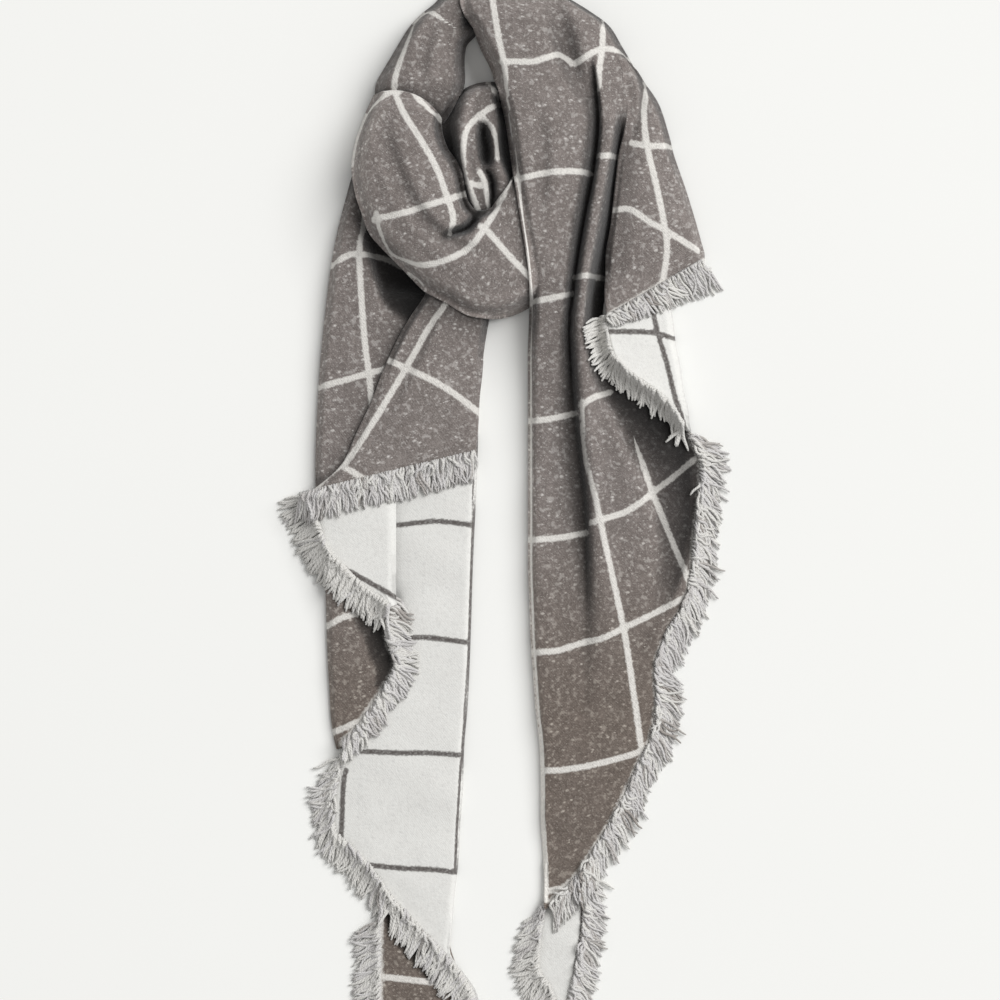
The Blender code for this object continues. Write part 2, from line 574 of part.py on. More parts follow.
class Wall:
    """A panel's wall: plan points, underside and upper side on one grid."""

    def __init__(self, panel, pile):
        rows = even_sections(panel.sections, panel.step)
        share = np.linspace(0, 1, panel.columns)
        share = share + EDGE_CROWDING * ((1 - np.cos(math.pi * share)) / 2 - share)
        share = np.tile(share, (len(rows), 1))
        if panel.creases:
            share = follow_crease(share[0], rows, panel.creases[0])
        left, right = rows[:, None, 0:2], rows[:, None, 2:4]
        across = right - left
        width = np.linalg.norm(across, axis=-1)
        normal = np.stack([-across[..., 1], across[..., 0]], axis=-1) / width[..., None]
        arch = 4 * share * (1 - share)
        plan = left + across * share[..., None] + normal * (arch * rows[:, 7:8])[..., None]
        self.shape = plan.shape[:2]
        self.xy = plan.reshape(-1, 2)
        self.triangles = grid_triangles(*self.shape)
        form = self.form(panel, rows, share, width, plan)
        if panel.node in HEARTS:
            self.under = np.zeros(self.xy.shape[0])
            self.upper = np.maximum(form.ravel(), HEART_RIM)
            return
        under = np.maximum(form - CLOTH, 0).ravel()
        rise = pile.lift(self.xy, under, self.triangles) - under
        under = under + spread(rise.reshape(self.shape), SPREAD_PASSES).ravel()
        self.under = pile.lift(self.xy, under, self.triangles)
        self.upper = self.under + CLOTH * np.minimum(np.sqrt(1 + self.slope() ** 2), STEEP_WALL)

    def form(self, panel, rows, share, width, plan):
        """Height of the upper side that the tables ask for."""
        high = rows[:, 4:5] * (1 - share) + rows[:, 5:6] * share
        high = high + rows[:, 6:7] * 4 * share * (1 - share)
        middle = plan.mean(axis=1)
        steps = np.linalg.norm(np.diff(middle, axis=0), axis=1)
        run = np.concatenate([[0.0], np.cumsum(steps)])[:, None]
        for way in panel.creases:
            high = high + crease_depth(plan[..., 0], plan[..., 1], way)
        high = high * rounded(share * width, panel.falls.left)
        high = high * rounded((1 - share) * width, panel.falls.right)
        high = high * rounded(run, panel.falls.start)
        return high * rounded(run[-1] - run, panel.falls.end)

    def slope(self):
        """Steepness of the underside at each point."""
        z = self.under.reshape(self.shape)
        plan = self.xy.reshape(*self.shape, 2)
        steps = [np.linalg.norm(np.gradient(plan, axis=k), axis=-1) for k in (0, 1)]
        rises = [np.gradient(z, axis=k) / np.maximum(steps[k], 0.5) for k in (0, 1)]
        return np.hypot(*rises).ravel()

    def mesh_data(self):
        """Points and faces of the closed wall, facing out."""
        count = len(self.xy)
        lower = np.column_stack([self.xy, self.under])
        upper = np.column_stack([self.xy, self.upper])
        rim = grid_rim(*self.shape)
        after = np.roll(rim, -1)
        faces = self.triangles.tolist() + (self.triangles[:, ::-1] + count).tolist()
        faces += np.stack([rim, after, after + count], axis=1).tolist()
        faces += np.stack([rim, after + count, rim + count], axis=1).tolist()
        return np.vstack([lower, upper]), faces

    def edge(self, hem):
        """The points of a fringed edge, in the order in which its strands follow."""
        rows, columns = self.shape
        grid = np.arange(rows * columns).reshape(rows, columns)
        line = {"left": grid[:, 0], "right": grid[:, -1], "end": grid[-1, :]}[hem.side]
        last = len(line) - 1
        return line[int(round(hem.start * last)):int(round(hem.end * last)) + 1]


# ------------------------------------------------------------------ fringe
OUTWARD = {"left": 1.0, "right": -1.0, "end": 1.0}
FOLLOW = {"left": -1.0, "right": 1.0, "end": -1.0}


def offset_line(line, distance, outward):
    """A line parallel to another one, with mitred corners."""
    ahead = np.diff(line, axis=0)
    ahead /= np.linalg.norm(ahead, axis=1, keepdims=True)
    normals = outward * np.stack([ahead[:, 1], -ahead[:, 0]], axis=1)
    first = np.vstack([normals[:1], normals])
    second = np.vstack([normals, normals[-1:]])
    mitre = first + second
    mitre /= np.maximum((mitre * first).sum(axis=1, keepdims=True), MITRE_LIMIT)
    return line + distance * mitre


def fringe_data(wall, hem, pile, rng):
    """Points and faces of one backing with its strands."""
    edge = wall.edge(hem)
    corners = np.column_stack([wall.xy[edge], wall.under[edge]])
    line = [corners[0]]
    for here, there in zip(corners[:-1], corners[1:]):
        pieces = max(1, int(round(np.linalg.norm((there - here)[:2]) / FRINGE_PITCH)))
        line += [here + (there - here) * (k + 1) / pieces for k in range(pieces)]
    line = np.array(line)
    outward = OUTWARD[hem.side]
    inner = offset_line(line[:, :2], GAP, outward)
    outer = offset_line(line[:, :2], GAP + BACKING_WIDTH, outward)
    strands = len(line) - 1
    share = (np.arange(strands) + 0.5) / strands
    across = outer[1:] - outer[:-1]
    facing = np.unwrap(np.arctan2(-outward * across[:, 0], outward * across[:, 1]))
    facing = np.array([facing[max(0, k - 3):k + 4].mean() for k in range(strands)])
    lean = hem.lean_start + (hem.lean_end - hem.lean_start) * share
    lean += rng.uniform(-STRAND_UNEVEN, STRAND_UNEVEN, strands)
    heading = facing - FOLLOW[hem.side] * np.radians(lean)
    length = FRINGE_LENGTH * rng.uniform(0.88, 1.1, strands)
    ahead = np.stack([np.cos(heading), np.sin(heading)], axis=1)
    beside = np.stack([-ahead[:, 1], ahead[:, 0]], axis=1)
    root_width = (across * beside).sum(axis=1, keepdims=True)
    beside *= np.sign(root_width)
    half = STRAND_HALF_WIDTH * np.abs(root_width).clip(2.0)
    root = (outer[1:] + outer[:-1]) / 2
    middle = root + ahead * length[:, None] * STRAND_BEND
    tip = root + ahead * length[:, None]
    plan = np.vstack([inner, outer, middle - beside * half, middle + beside * half, tip])
    count = len(line)
    low = np.concatenate([line[:, 2], line[:, 2], np.zeros(3 * strands)])
    start = 2 * count
    place = np.arange(strands)
    left, right = start + place, start + strands + place
    point = start + 2 * strands + place
    bed = np.concatenate([
        np.stack([place, place + 1, count + place], axis=1),
        np.stack([place + 1, count + place + 1, count + place], axis=1),
        np.stack([count + place, count + place + 1, right], axis=1),
        np.stack([count + place, right, left], axis=1),
        np.stack([left, right, point], axis=1),
    ])
    low = pile.lift(plan, np.maximum(low, STRAND_CLEAR), bed)
    thick = np.concatenate([np.full(2 * count, BACKING_THICKNESS),
                            np.full(2 * strands, STRAND_THICKNESS), np.zeros(strands)])
    low[point] += 0.5 * STRAND_THICKNESS
    total = len(plan)
    points = np.vstack([np.column_stack([plan, low]), np.column_stack([plan, low + thick])])
    faces = bed[:, ::-1].tolist() + np.where(bed < start + 2 * strands, bed + total, bed).tolist()
    for k in range(strands):
        a, b, c, d = k, k + 1, count + k + 1, count + k
        e, f, g = left[k], right[k], point[k]
        faces.append((a, b, b + total, a + total))
        faces.append((d, d + total, e + total, e))
        faces.append((c, f, f + total, c + total))
        faces += [(e, e + total, g), (f, g, f + total)]
    faces.append((0, total, count + total, count))
    faces.append((strands, count + strands, count + strands + total, strands + total))
    return points, faces, plan, low + thick, bed


# ------------------------------------------------------------------ objects
def add_object(name, points, faces, material, turned):
    """Make one named object from points in millimetres."""
    used = sorted({corner for face in faces for corner in face})
    place = {corner: k for k, corner in enumerate(used)}
    shift = np.array([CENTRE_X, CENTRE_Y, 0.0])
    mesh = bpy.data.meshes.new(name)
    order = [[place[corner] for corner in (reversed(face) if turned else face)]
             for face in faces]
    mesh.from_pydata(((points[used] - shift) * MILLIMETRE).tolist(), [], order)
    mesh.materials.append(material)
    mesh.update()
    scarf_piece = bpy.data.objects.new(name, mesh)
    bpy.context.scene.collection.objects.link(scarf_piece)
    return scarf_piece


def lay_down(panel, pile, rng):
    """Lay one panel and the fringes of its hems on the pile."""
    wall = Wall(panel, pile)
    fringes = [(hem, fringe_data(wall, hem, pile, rng)) for hem in panel.hems]
    points, faces = wall.mesh_data()
    add_object(panel.node, points, faces, cloth_material(panel.face), True)
    pile.add(wall.xy, wall.upper, wall.triangles)
    for hem, (points, faces, plan, high, bed) in fringes:
        add_object(hem.node, points, faces, cloth_material("fringe"), hem.side != "right")
        pile.add(plan, high, bed)


def main():
    """Clear the scene and lay the scarf down."""
    for scene_object in list(bpy.data.objects):
        bpy.data.objects.remove(scene_object, do_unlink=True)
    pile = Pile()
    rng = np.random.default_rng(SEED)
    for panel in PANELS:
        lay_down(panel, pile, rng)


main()
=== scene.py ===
"""Looks of a blanket scarf that lies flat, looped through its own knot.

The double-faced cloth is laid down panel by panel on one pile, as its solids are, on a fine grid
with its folds, creases and windowpane. Every fringed hem then gets its strands. Tables are in
millimetres in the scarf's own plan: X to the right, Y from the tails up to the neck, Z up.
"""
import logging
import math
from dataclasses import dataclass, field
from enum import Enum
from functools import partial, reduce
from typing import NamedTuple

import bpy
import numpy as np
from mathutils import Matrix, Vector


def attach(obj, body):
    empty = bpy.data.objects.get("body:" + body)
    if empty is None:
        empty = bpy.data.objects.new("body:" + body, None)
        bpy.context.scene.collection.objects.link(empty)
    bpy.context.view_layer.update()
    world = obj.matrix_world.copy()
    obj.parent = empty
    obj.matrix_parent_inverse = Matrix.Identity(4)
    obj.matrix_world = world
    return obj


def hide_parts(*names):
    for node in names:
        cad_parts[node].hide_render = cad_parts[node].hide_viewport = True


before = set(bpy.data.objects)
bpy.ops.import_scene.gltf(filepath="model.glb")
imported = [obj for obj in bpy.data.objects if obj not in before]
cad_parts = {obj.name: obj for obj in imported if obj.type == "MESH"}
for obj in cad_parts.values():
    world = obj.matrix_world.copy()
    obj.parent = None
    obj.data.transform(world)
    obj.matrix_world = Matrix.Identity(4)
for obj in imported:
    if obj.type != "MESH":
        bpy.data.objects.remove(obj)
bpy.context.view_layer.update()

LOG = logging.getLogger("blanket_scarf")
Array = np.ndarray
Object = bpy.types.Object
Material = bpy.types.Material
Socket = bpy.types.NodeSocket
Colour = tuple[float, float, float]
Line = list[tuple[float, ...]]           # x, y and, where it differs from 1, share of the width

# ------------------------------------------------------------------ driving sizes, millimetres
MILLIMETRE = 0.001
CENTRE = np.array([3.475, 1.74, 0.0])   # middle of the laid scarf in the tables' own plan
CLOTH = 2.2                             # thickness of the double-faced cloth
GAP = 0.3                               # air between two layers
GRID = 2.0                              # distance between two points of a panel's grid
CLOSER = 0.3                            # how much closer its columns stand near the edges
PILE_CELL = 1.25                        # square of the grid that records the pile's height
BEND = 0.6                              # softness of the bend where cloth meets what is under it
THINNEST = 0.1                          # share of the cloth's thickness that every wall keeps
STEEPEST = 1.6                          # most that a slope thickens the cloth, seen from above
RIPPLE = 42.0                           # mean distance between two rises of handled cloth
RIPPLE_SPREAD = (0.7, 1.6)              # least and most of it that a single wave has
RIM = 4                                 # rows of points on a rounded edge, which has no folds
RIM_OUT = 0.4                           # share of its thickness that a rounded edge stands out
CREASE_MEETS = 9.0                      # a crease passes a row when it is nearer than this
PANE_REACH = 12.0                       # how far a windowpane line is felt by the finish
HEM_BAND = 0.55                         # the woven edge is wider than a line by its inverse
DROP = 0.7                              # share of a drop that takes a point away from a line
# UNHELD: past it the painted shade follows a crease as if nothing held the cloth up.
UNHELD = -1.0                           # deeper creases shade as if nothing held them up
PRESSED = 0.6                           # share of the air that pressed layers keep
LEAST_STEP = 0.4                        # shortest distance that a slope is measured over
LEAST_WALL = 0.1                        # least thickness of a wall at any point
FEWEST_ROWS = 4                         # a panel has at least so many rows of points
FEWEST_COLUMNS = 8                      # and at least so many columns
SPREADING = 0.25                        # how softly a height passes on to a line beside it
FADING = 3                              # how fast it fades with the distance
SECTION_READINGS = 40                   # readings of a table for each section
LINE_READINGS = 60                      # readings of a line for each of its places
YARN_TONES = (0.0, 0.3, 0.6, 0.85, 1.0)        # dark, middle, pale grey, pale and cream yarn
TONE_SHARES = (0.03, 0.13, 0.32, 0.30, 0.22)   # how much of the yarn has each tone


class Face(Enum):
    """The two faces of the cloth, by the material slot of each."""

    GREY = "cloth_grey"
    CREAM = "cloth_cream"

    def other(self) -> "Face":
        """The face on the other side of the cloth."""
        return Face.CREAM if self is Face.GREY else Face.GREY


class Fold(Enum):
    """How a crease runs down to its deepest line."""

    SOFT = "soft"
    SHARP = "sharp"


class Section(NamedTuple):
    """A cut across a panel: its two edges, heights near them, its swell and its bow."""

    left_x: float
    left_y: float
    right_x: float
    right_y: float
    left_high: float
    right_high: float
    swell: float = 0.0
    bow: float = 0.0


class Crease(NamedTuple):
    """A place on a crease: how low it runs there and how far it reaches to each side. Where it
    runs below what holds the cloth up, it deepens only the painted shade.
    """

    x: float
    y: float
    low: float
    left_reach: float
    right_reach: float


class Falls(NamedTuple):
    """Distances in which a panel comes down to what lies under it at its four edges."""

    left: float
    right: float
    start: float
    end: float


class Hem(NamedTuple):
    """A fringed edge: its side, the share of the panel where it runs, and its strands' lean. Its
    pale shift moves the strands' tones towards cream, or towards grey below zero; on hems that lie
    in shade it is painted light.
    """

    node: str
    side: str
    start: float
    end: float
    lean_start: float
    lean_end: float
    long_start: float = 1.0
    long_end: float = 1.0
    pale: float = 0.0
    inside: float = 3.5
    thick: float = 1.0


class YarnLayer(NamedTuple):
    """One layer of a fringe: its spacing, shares of length and thickness, its level, how much
    paler and how much more curled it is."""

    pitch: float
    length: float
    thick: float
    level: float
    pale: float
    curl: float


@dataclass(frozen=True)
class Way:
    """A crease or ridge with its places, its form, and whether columns of the grid follow it."""

    places: list[Crease]
    fold: Fold
    guides: bool


def sections(*rows: tuple[float, ...]) -> list[Section]:
    """The cuts across a panel from its start to its end, each given as a row of numbers."""
    return [Section(*row) for row in rows]


def way(*places: tuple[float, ...], fold: Fold = Fold.SOFT, guides: bool = False) -> Way:
    """A crease through places that are given as rows of numbers."""
    return Way([Crease(*place) for place in places], fold, guides)


# ------------------------------------------------------------------ tables
LEFT_TAIL_TIP = sections(
    (-95, -272, -52, -270, 3, 3), (-101, -300, -46, -300, 3, 3), (-102, -324, -45, -324, 3, 3, 1),
    (-102, -348, -36, -350, 3, 3, 1), (-102, -368, -29, -368, 3, 3, 1),
    (-98, -392, -32, -390, 3, 3, 1), (-86, -414, -44, -412, 3, 3), (-70, -430, -57, -430, 3, 3))
LEFT_TAIL_LONG = sections(
    (-124, 196, -20, 192, 8, 10, 1), (-133, 150, -20, 150, 8, 10, 1),
    (-137, 112, -22, 112, 7, 9, 1), (-139, 48, -24, 48, 6, 8, 1), (-137, -16, -27, -16, 6, 8, 1),
    (-134, -80, -29, -80, 6, 8, 1), (-131, -128, -31, -128, 6, 7, 1),
    (-130, -162, -34, -164, 6, 7, 1), (-134, -184, -35, -196, 5, 7, 1),
    (-139, -208, -37, -226, 4, 6, 1), (-138, -232, -38, -250, 4, 6, 1),
    (-126, -246, -40, -270, 4, 6, 1), (-110, -262, -42, -288, 5, 6, 1),
    (-94, -284, -43, -304, 5, 6), (-76, -305, -44, -317, 5, 6), (-60, -322, -45, -326, 5, 6),
    (-49, -334, -43, -334, 5, 5), (-39, -346, -35, -345, 5, 5), (-29, -361, -25, -359, 4, 4),
    (-25, -370, -22, -368, 4, 4))
LEFT_TAIL_OUTER = sections(
    (-121, 291, -106, 286, 14, 14), (-126, 272, -98, 261, 16, 15, 1),
    (-132, 248, -84, 237, 17, 15, 2), (-137, 222, -68, 218, 16, 14, 2),
    (-141, 192, -62, 192, 15, 13, 2), (-146, 144, -80, 144, 13, 12, 2),
    (-149, 96, -88, 96, 12, 11, 1), (-150, 48, -92, 48, 11, 10, 1), (-146, -4, -92, -4, 10, 9, 1),
    (-142, -44, -92, -46, 10, 9, 1), (-141, -80, -93, -76, 9, 8, 1),
    (-140, -102, -86, -98, 9, 8, 1), (-139, -120, -94, -117, 8, 8, 1),
    (-138, -142, -108, -138, 8, 7), (-136, -158, -119, -153, 7, 7), (-134, -167, -128, -162, 7, 7))
LEFT_TAIL_PLEAT = sections(
    (-92, 134, -82, 134, 11, 10), (-105, 96, -85, 98, 11, 10), (-118, 66, -86, 67, 11, 9),
    (-137, 45, -86, 46, 11, 9), (-157, 31, -87, 32, 10, 9), (-150, 13, -87, 16, 11, 9),
    (-142, -7, -87, -1, 12, 9), (-130, -21, -87, -18, 13, 9), (-117, -34, -87, -32, 14, 10),
    (-101, -46, -87, -44, 14, 11), (-92, -53, -86, -51, 13, 11))
LEFT_TAIL_FRONT = sections(
    (-50, 222, -22, 222, 18, 18, 2), (-58, 205, -17, 200, 20, 18, 4),
    (-65, 192, -14, 181, 21, 17, 5), (-76, 176, -16, 166, 21, 16, 5),
    (-86, 158, -18, 152, 20, 15, 5), (-96, 136, -19, 133, 19, 14, 4),
    (-106, 110, -21, 114, 18, 13, 4), (-118, 85, -22, 94, 16, 12, 3),
    (-129, 61, -23, 80, 15, 12, 2), (-148, 43, -24, 72, 13, 11, 2), (-164, 32, -24, 66, 11, 11, 1))
RIGHT_TAIL_TIP = sections(
    (36, -244, 69, -242, 3, 3), (34, -268, 66, -266, 3, 3), (30, -292, 65, -292, 3, 3, 1),
    (27, -312, 63, -314, 3, 3, 1), (25, -332, 60, -332, 3, 3, 1), (26, -346, 57, -348, 3, 3, 1),
    (34, -358, 54, -360, 3, 3), (40, -371, 52, -371, 3, 3), (45, -382, 50, -382, 3, 3))
KNOT_CORE = sections(
    (-33, 358, -2, 363, 20, 20, 2, 3), (-39, 350, 2, 352, 24, 22, 3, 2),
    (-46, 342, 6, 339, 26, 24, 3, 1), (-52, 330, 9, 326, 26, 25, 3),
    (-53, 316, 10, 312, 26, 26, 3), (-48, 299, 12, 296, 26, 26, 3), (-39, 282, 14, 280, 26, 26, 3),
    (-34, 266, 15, 264, 25, 25, 2), (-28, 252, 15, 250, 24, 24, 1))
NECK_LOOP = sections(
    (-46, 439, -18, 440, 8, 8, 4), (-55, 428, -18, 428, 16, 14, 4),
    (-66, 419, -20, 414, 20, 16, 5), (-75, 409, -25, 404, 22, 18, 6),
    (-82, 398, -32, 396, 23, 19, 7), (-89, 386, -34, 386, 24, 20, 7),
    (-95, 376, -34, 376, 24, 21, 7), (-101, 365, -34, 365, 24, 22, 7),
    (-102, 354, -37, 354, 22, 23, 5), (-97, 342, -43, 342, 21, 23, 4),
    (-90, 331, -49, 332, 20, 23, 3))
KNOT_WRAP = sections(
    (-104, 354, -51, 335, 27, 31, 3, 10), (-111, 338, -51, 330, 28, 33, 5, 5),
    (-118, 318, -50, 322, 29, 34, 7, 2), (-121, 298, -46, 311, 29, 34, 8),
    (-119, 278, -40, 302, 29, 34, 9), (-114, 262, -35, 291, 29, 34, 9),
    (-108, 246, -33, 280, 29, 34, 9), (-98, 234, -31, 271, 29, 34, 9),
    (-86, 222, -28, 265, 29, 34, 9), (-74, 210, -23, 261, 30, 34, 9),
    (-62, 198, -17, 261, 30, 34, 9), (-46, 189, -11, 263, 30, 34, 9),
    (-28, 179, -6, 269, 29, 33, 9), (-8, 178, 0, 277, 28, 33, 8), (11, 183, 6, 286, 26, 32, 7),
    (28, 194, 12, 298, 24, 31, 5), (41, 206, 20, 307, 22, 30, 3))
RIGHT_TAIL_FRONT = sections(
    (-20, 444, 34, 443, 8, 8, 6, 5), (-34, 432, 50, 432, 20, 16, 8, 2),
    (-33, 421, 66, 422, 29, 18, 8), (-24, 408, 82, 410, 33, 18, 8), (-17, 392, 92, 394, 35, 17, 8),
    (-9, 376, 103, 374, 37, 16, 8), (-5, 360, 109, 354, 39, 15, 8), (1, 339, 107, 333, 41, 14, 9),
    (5, 312, 99, 308, 42, 13, 9), (9, 280, 95, 276, 42, 12, 9), (14, 248, 91, 242, 40, 11, 8),
    (19, 216, 90, 211, 36, 9, 8), (21, 184, 103, 181, 29, 8, 8), (20, 152, 124, 152, 23, 6, 7),
    (20, 120, 137, 122, 19, 5, 6), (20, 88, 147, 88, 17, 5, 5), (20, 60, 158, 62, 16, 5, 4),
    (20, 32, 157, 38, 17, 5, 4), (20, 4, 154, 8, 16, 5, 4), (20, -24, 151, -24, 16, 5, 4),
    (21, -52, 145, -51, 15, 5, 4), (22, -80, 130, -77, 15, 5, 3), (24, -108, 122, -101, 14, 5, 3),
    (26, -136, 123, -128, 14, 5, 2), (29, -164, 119, -157, 13, 5, 2),
    (30, -192, 108, -180, 12, 5, 1), (30, -220, 96, -207, 11, 5, 1), (31, -244, 83, -231, 8, 6),
    (32, -264, 70, -252, 8, 6), (32, -278, 59, -269, 7, 6), (32, -288, 49, -279, 7, 6),
    (32, -294, 39, -289, 6, 6))
RIGHT_TAIL_TURN = sections(
    (84, 214, 127, 216, 16, 9), (81, 192, 130, 194, 20, 10), (79, 174, 133, 174, 23, 11),
    (81, 159, 135, 156, 24, 12), (86, 146, 138, 142, 24, 12), (100, 132, 140, 128, 22, 12),
    (112, 124, 142, 116, 20, 13), (124, 115, 145, 104, 18, 14), (136, 102, 146, 94, 16, 14),
    (142, 91, 148, 87, 14, 13))
RIGHT_TAIL_FLAP = sections(
    (90, 384, 97, 383, 16, 12), (93, 375, 104, 374, 17, 13), (94, 364, 111, 364, 19, 14, 1),
    (97, 344, 122, 347, 20, 14, 2), (95, 324, 130, 322, 21, 14, 3), (91, 306, 134, 306, 22, 13, 3),
    (88, 280, 143, 280, 22, 12, 3), (85, 252, 151, 254, 21, 11, 3), (82, 232, 156, 236, 19, 10, 2),
    (81, 212, 158, 229, 17, 9, 1), (80, 192, 158, 225, 15, 9, 1), (82, 176, 158, 221, 14, 8))
# Some creases below run far lower than what holds the cloth up; there they only paint the shadows
# that the layers above cast, as on the knot's core and under the turn.
RIGHT_TAIL_WAYS = [
    way((68, 386, 0, 3, 9), (72, 362, -12, 3, 12), (74.4, 331, -18, 3, 13),
        (70.4, 292, -20, 3, 13), (63.2, 255, -19, 3, 12), (57.6, 222, -18, 3, 10),
        (54.4, 196, -16, 3, 10), (52, 168, -14, 3, 11), (54.4, 128, -14.5, 3, 17),
        (56.8, 96, -15, 3, 26), (61.5, 56, -16, 3, 36), (64.5, 24, -14.5, 3, 40),
        (65.5, -10, -9.5, 4, 34), (65, -50, -5, 8, 22), (64.5, -90, -3.5, 11, 19),
        (63.5, -130, -2, 12, 16), (62, -165, 0, 12, 12), fold=Fold.SHARP, guides=True),
    way((34, 436, 0, 12, 12), (45, 405, -7, 14, 16), (54, 378, -8, 11, 16), (64, 352, -4, 7, 12),
        (70, 330, 0, 5, 8)),
    way((84, 350, 0, 8, 8), (82, 320, 5, 8, 7), (77.5, 292, 7, 8, 7), (71, 255, 8, 8, 7),
        (65.5, 222, 9, 8, 7), (62, 196, 9, 9, 7), (60, 168, 8, 12, 7), (62, 128, 7.5, 14, 7),
        (65, 96, 7, 15, 7), (70, 56, 6.5, 17, 7), (73, 24, 6, 18, 7), (75, -20, 4.5, 18, 9),
        (80, -70, 2.5, 18, 12), (86, -110, 0, 16, 16)),
    way((94, 344, 0, 4, 8), (92, 322, -6, 4, 7), (88, 289, -12, 4, 7), (85, 258, -16, 4, 9),
        (82, 224, -26, 5, 14), (80, 190, -42, 12, 19), (85, 160, -60, 16, 24),
        (99, 130, -80, 20, 29), (116, 106, -84, 24, 36), (130, 84, -72, 24, 40),
        (139, 60, -50, 20, 38), (142, 34, -34, 16, 32), (142, 6, -22, 14, 26),
        (136, -24, -9, 12, 18), (122, -70, 0, 12, 14)),
    way((155, 34, 0, 5, 4), (151, 4, 4, 6, 6), (144, -26, 5, 8, 9), (133, -56, 3.5, 8, 12),
        (118, -90, 2, 8, 12), (114, -130, 0, 8, 12)),
    way((24, 352, 0, 8, 10), (30, 318, -2.5, 8, 11), (30, 280, -3, 8, 11), (26, 246, 0, 8, 10)),
    way((30, 60, 0, 10, 12), (40, -10, -1.5, 12, 14), (48, -80, -1.5, 12, 14),
        (50, -150, 0, 12, 14)),
]
KNOT_WRAP_WAYS = [
    way((-98, 346, 0, 7, 12), (-92, 312, -3, 10, 13), (-80, 280, -4, 10, 13),
        (-62, 252, -4.5, 9, 12), (-38, 234, -4, 9, 12), (-8, 226, 0, 8, 10)),
    way((-52, 240, 0, 4, 6), (-41, 244, -20, 5, 7), (-31, 248, -30, 5, 8), (-24, 256, -28, 5, 7),
        (-17, 267, -18, 4, 6), (-9, 283, 0, 4, 5), fold=Fold.SHARP),
]
KNOT_CORE_WAYS = [
    way((-12, 366, 0, 5, 5), (-26, 350, 3, 6, 6), (-32, 330, 5, 7, 7), (-33, 308, 6, 7, 7),
        (-29, 284, 5, 6, 6), (-22, 262, 0, 5, 6)),
    way((-18, 334, 0, 5, 5), (-17, 324, -20, 6, 7), (-16, 313, -32, 7, 7), (-15, 303, -24, 7, 7),
        (-14, 295, 0, 5, 5)),
    way((-9, 355, 0, 6, 5), (-3, 347, -30, 8, 6), (0, 332, -46, 9, 6), (1, 316, -48, 9, 7),
        (3, 302, -40, 9, 7), (7, 288, -28, 8, 5), (10, 274, -16, 6, 4), (13, 260, 0, 4, 4)),
    way((-5, 304, 0, 6, 6), (-3, 294, 4, 8, 7), (-2, 282, 4, 8, 6), (-2, 270, 0, 6, 6)),
    way((-20, 297, 0, 3, 3), (-13, 292, -16, 3, 5), (-10, 284, -20, 3, 5), (-9.5, 272, -18, 4, 5),
        (-12, 258, -14, 5, 5), (-16, 250, 0, 4, 4), fold=Fold.SHARP),
    way((-34, 356, 0, 5, 5), (-43, 340, -10, 8, 9), (-48, 326, -18, 10, 9), (-44, 311, -24, 8, 9),
        (-39, 297, -22, 6, 9), (-35, 283, -18, 5, 9), (-30, 266, -12, 4, 7), (-24, 254, 0, 4, 6)),
]
NECK_LOOP_WAYS = [
    way((-24, 440, -4, 7, 7), (-27, 424, -12, 8, 7), (-30, 412, -9, 7, 7), (-34, 400, 0, 5, 6)),
    way((-52, 430, 0, 8, 8), (-60, 402, -2.5, 9, 9), (-66, 376, -3, 9, 9), (-66, 352, 0, 8, 8)),
]
LEFT_OUTER_WAYS = [
    way((-120, 264, 0, 8, 6), (-109, 243, -10, 12, 9), (-99, 226, -22, 14, 13),
        (-90, 212, -40, 18, 18), (-81, 200, -54, 20, 22), (-73, 190, -50, 20, 20),
        (-66, 178, -22, 14, 15), (-62, 166, 0, 8, 8)),
    way((-132, -42, 0, 8, 8), (-114, -58, -10, 12, 12), (-99, -72, -26, 14, 18),
        (-91, -90, -28, 8, 20), (-92, -106, -16, 8, 14), (-100, -122, 0, 6, 8)),
]
LEFT_TIP_WAYS = [
    way((-93, -282, 0, 8, 8), (-84, -299, -38, 14, 16), (-70, -315, -52, 18, 20),
        (-56, -331, -52, 18, 20), (-44, -345, -38, 16, 18), (-36, -358, 0, 8, 8)),
]
LEFT_TAIL_WAYS = [
    way((-48, 204, 0, 6, 8), (-62, 166, -3, 8, 12), (-84, 120, -2, 8, 14), (-104, 80, 0, 8, 14)),
]
NECK_LOOP_LINES = [
    [(-63, 420), (-71, 414), (-77, 398), (-83, 382), (-87, 368), (-88, 355), (-86, 344)],
    [(-81, 406, 0.8), (-75, 413, 0.9), (-68, 419, 0.9), (-60, 420, 0.9), (-53, 416, 0.7),
     (-46, 411, 0.4), (-38, 406, 0.25)],
]
KNOT_WRAP_LINES = [
    [(-122, 300), (-118, 320), (-110, 339), (-98, 351), (-87, 357), (-75, 358), (-66, 347),
     (-51, 334), (-46, 330)],
    [(-88, 360), (-86, 352), (-80, 338), (-65, 314), (-54, 294), (-46, 272), (-41, 255),
     (-44, 243)],
    [(-105, 254), (-102, 255), (-85, 258), (-65, 264), (-45, 270), (-31, 275)],
    [(-102, 259), (-101, 251), (-98, 242), (-91, 229), (-79, 222), (-65, 218), (-46, 222),
     (-28, 232), (-17, 246), (-6, 264), (4, 287), (10, 304)],
    [(-20, 249), (-15, 246), (0, 229), (18, 210), (26, 202)],
    [(-76, 212), (-71, 209), (-66, 204)],
]
KNOT_CORE_LINES = [
    [(2, 351), (-5, 346.6), (-19, 338), (-29.4, 326.6), (-32.8, 314), (-33.4, 300), (-31, 286),
     (-26, 273), (-20, 259)],
    [(-19, 336), (-16, 333), (-10.4, 326.6), (-6.4, 316), (-6, 303)],
    [(-32, 284), (-24, 282), (-18, 281)],
    [(-20, 292), (-15.5, 282), (-13, 265)],
    [(-13, 364), (-9, 358), (-5, 351)],
]
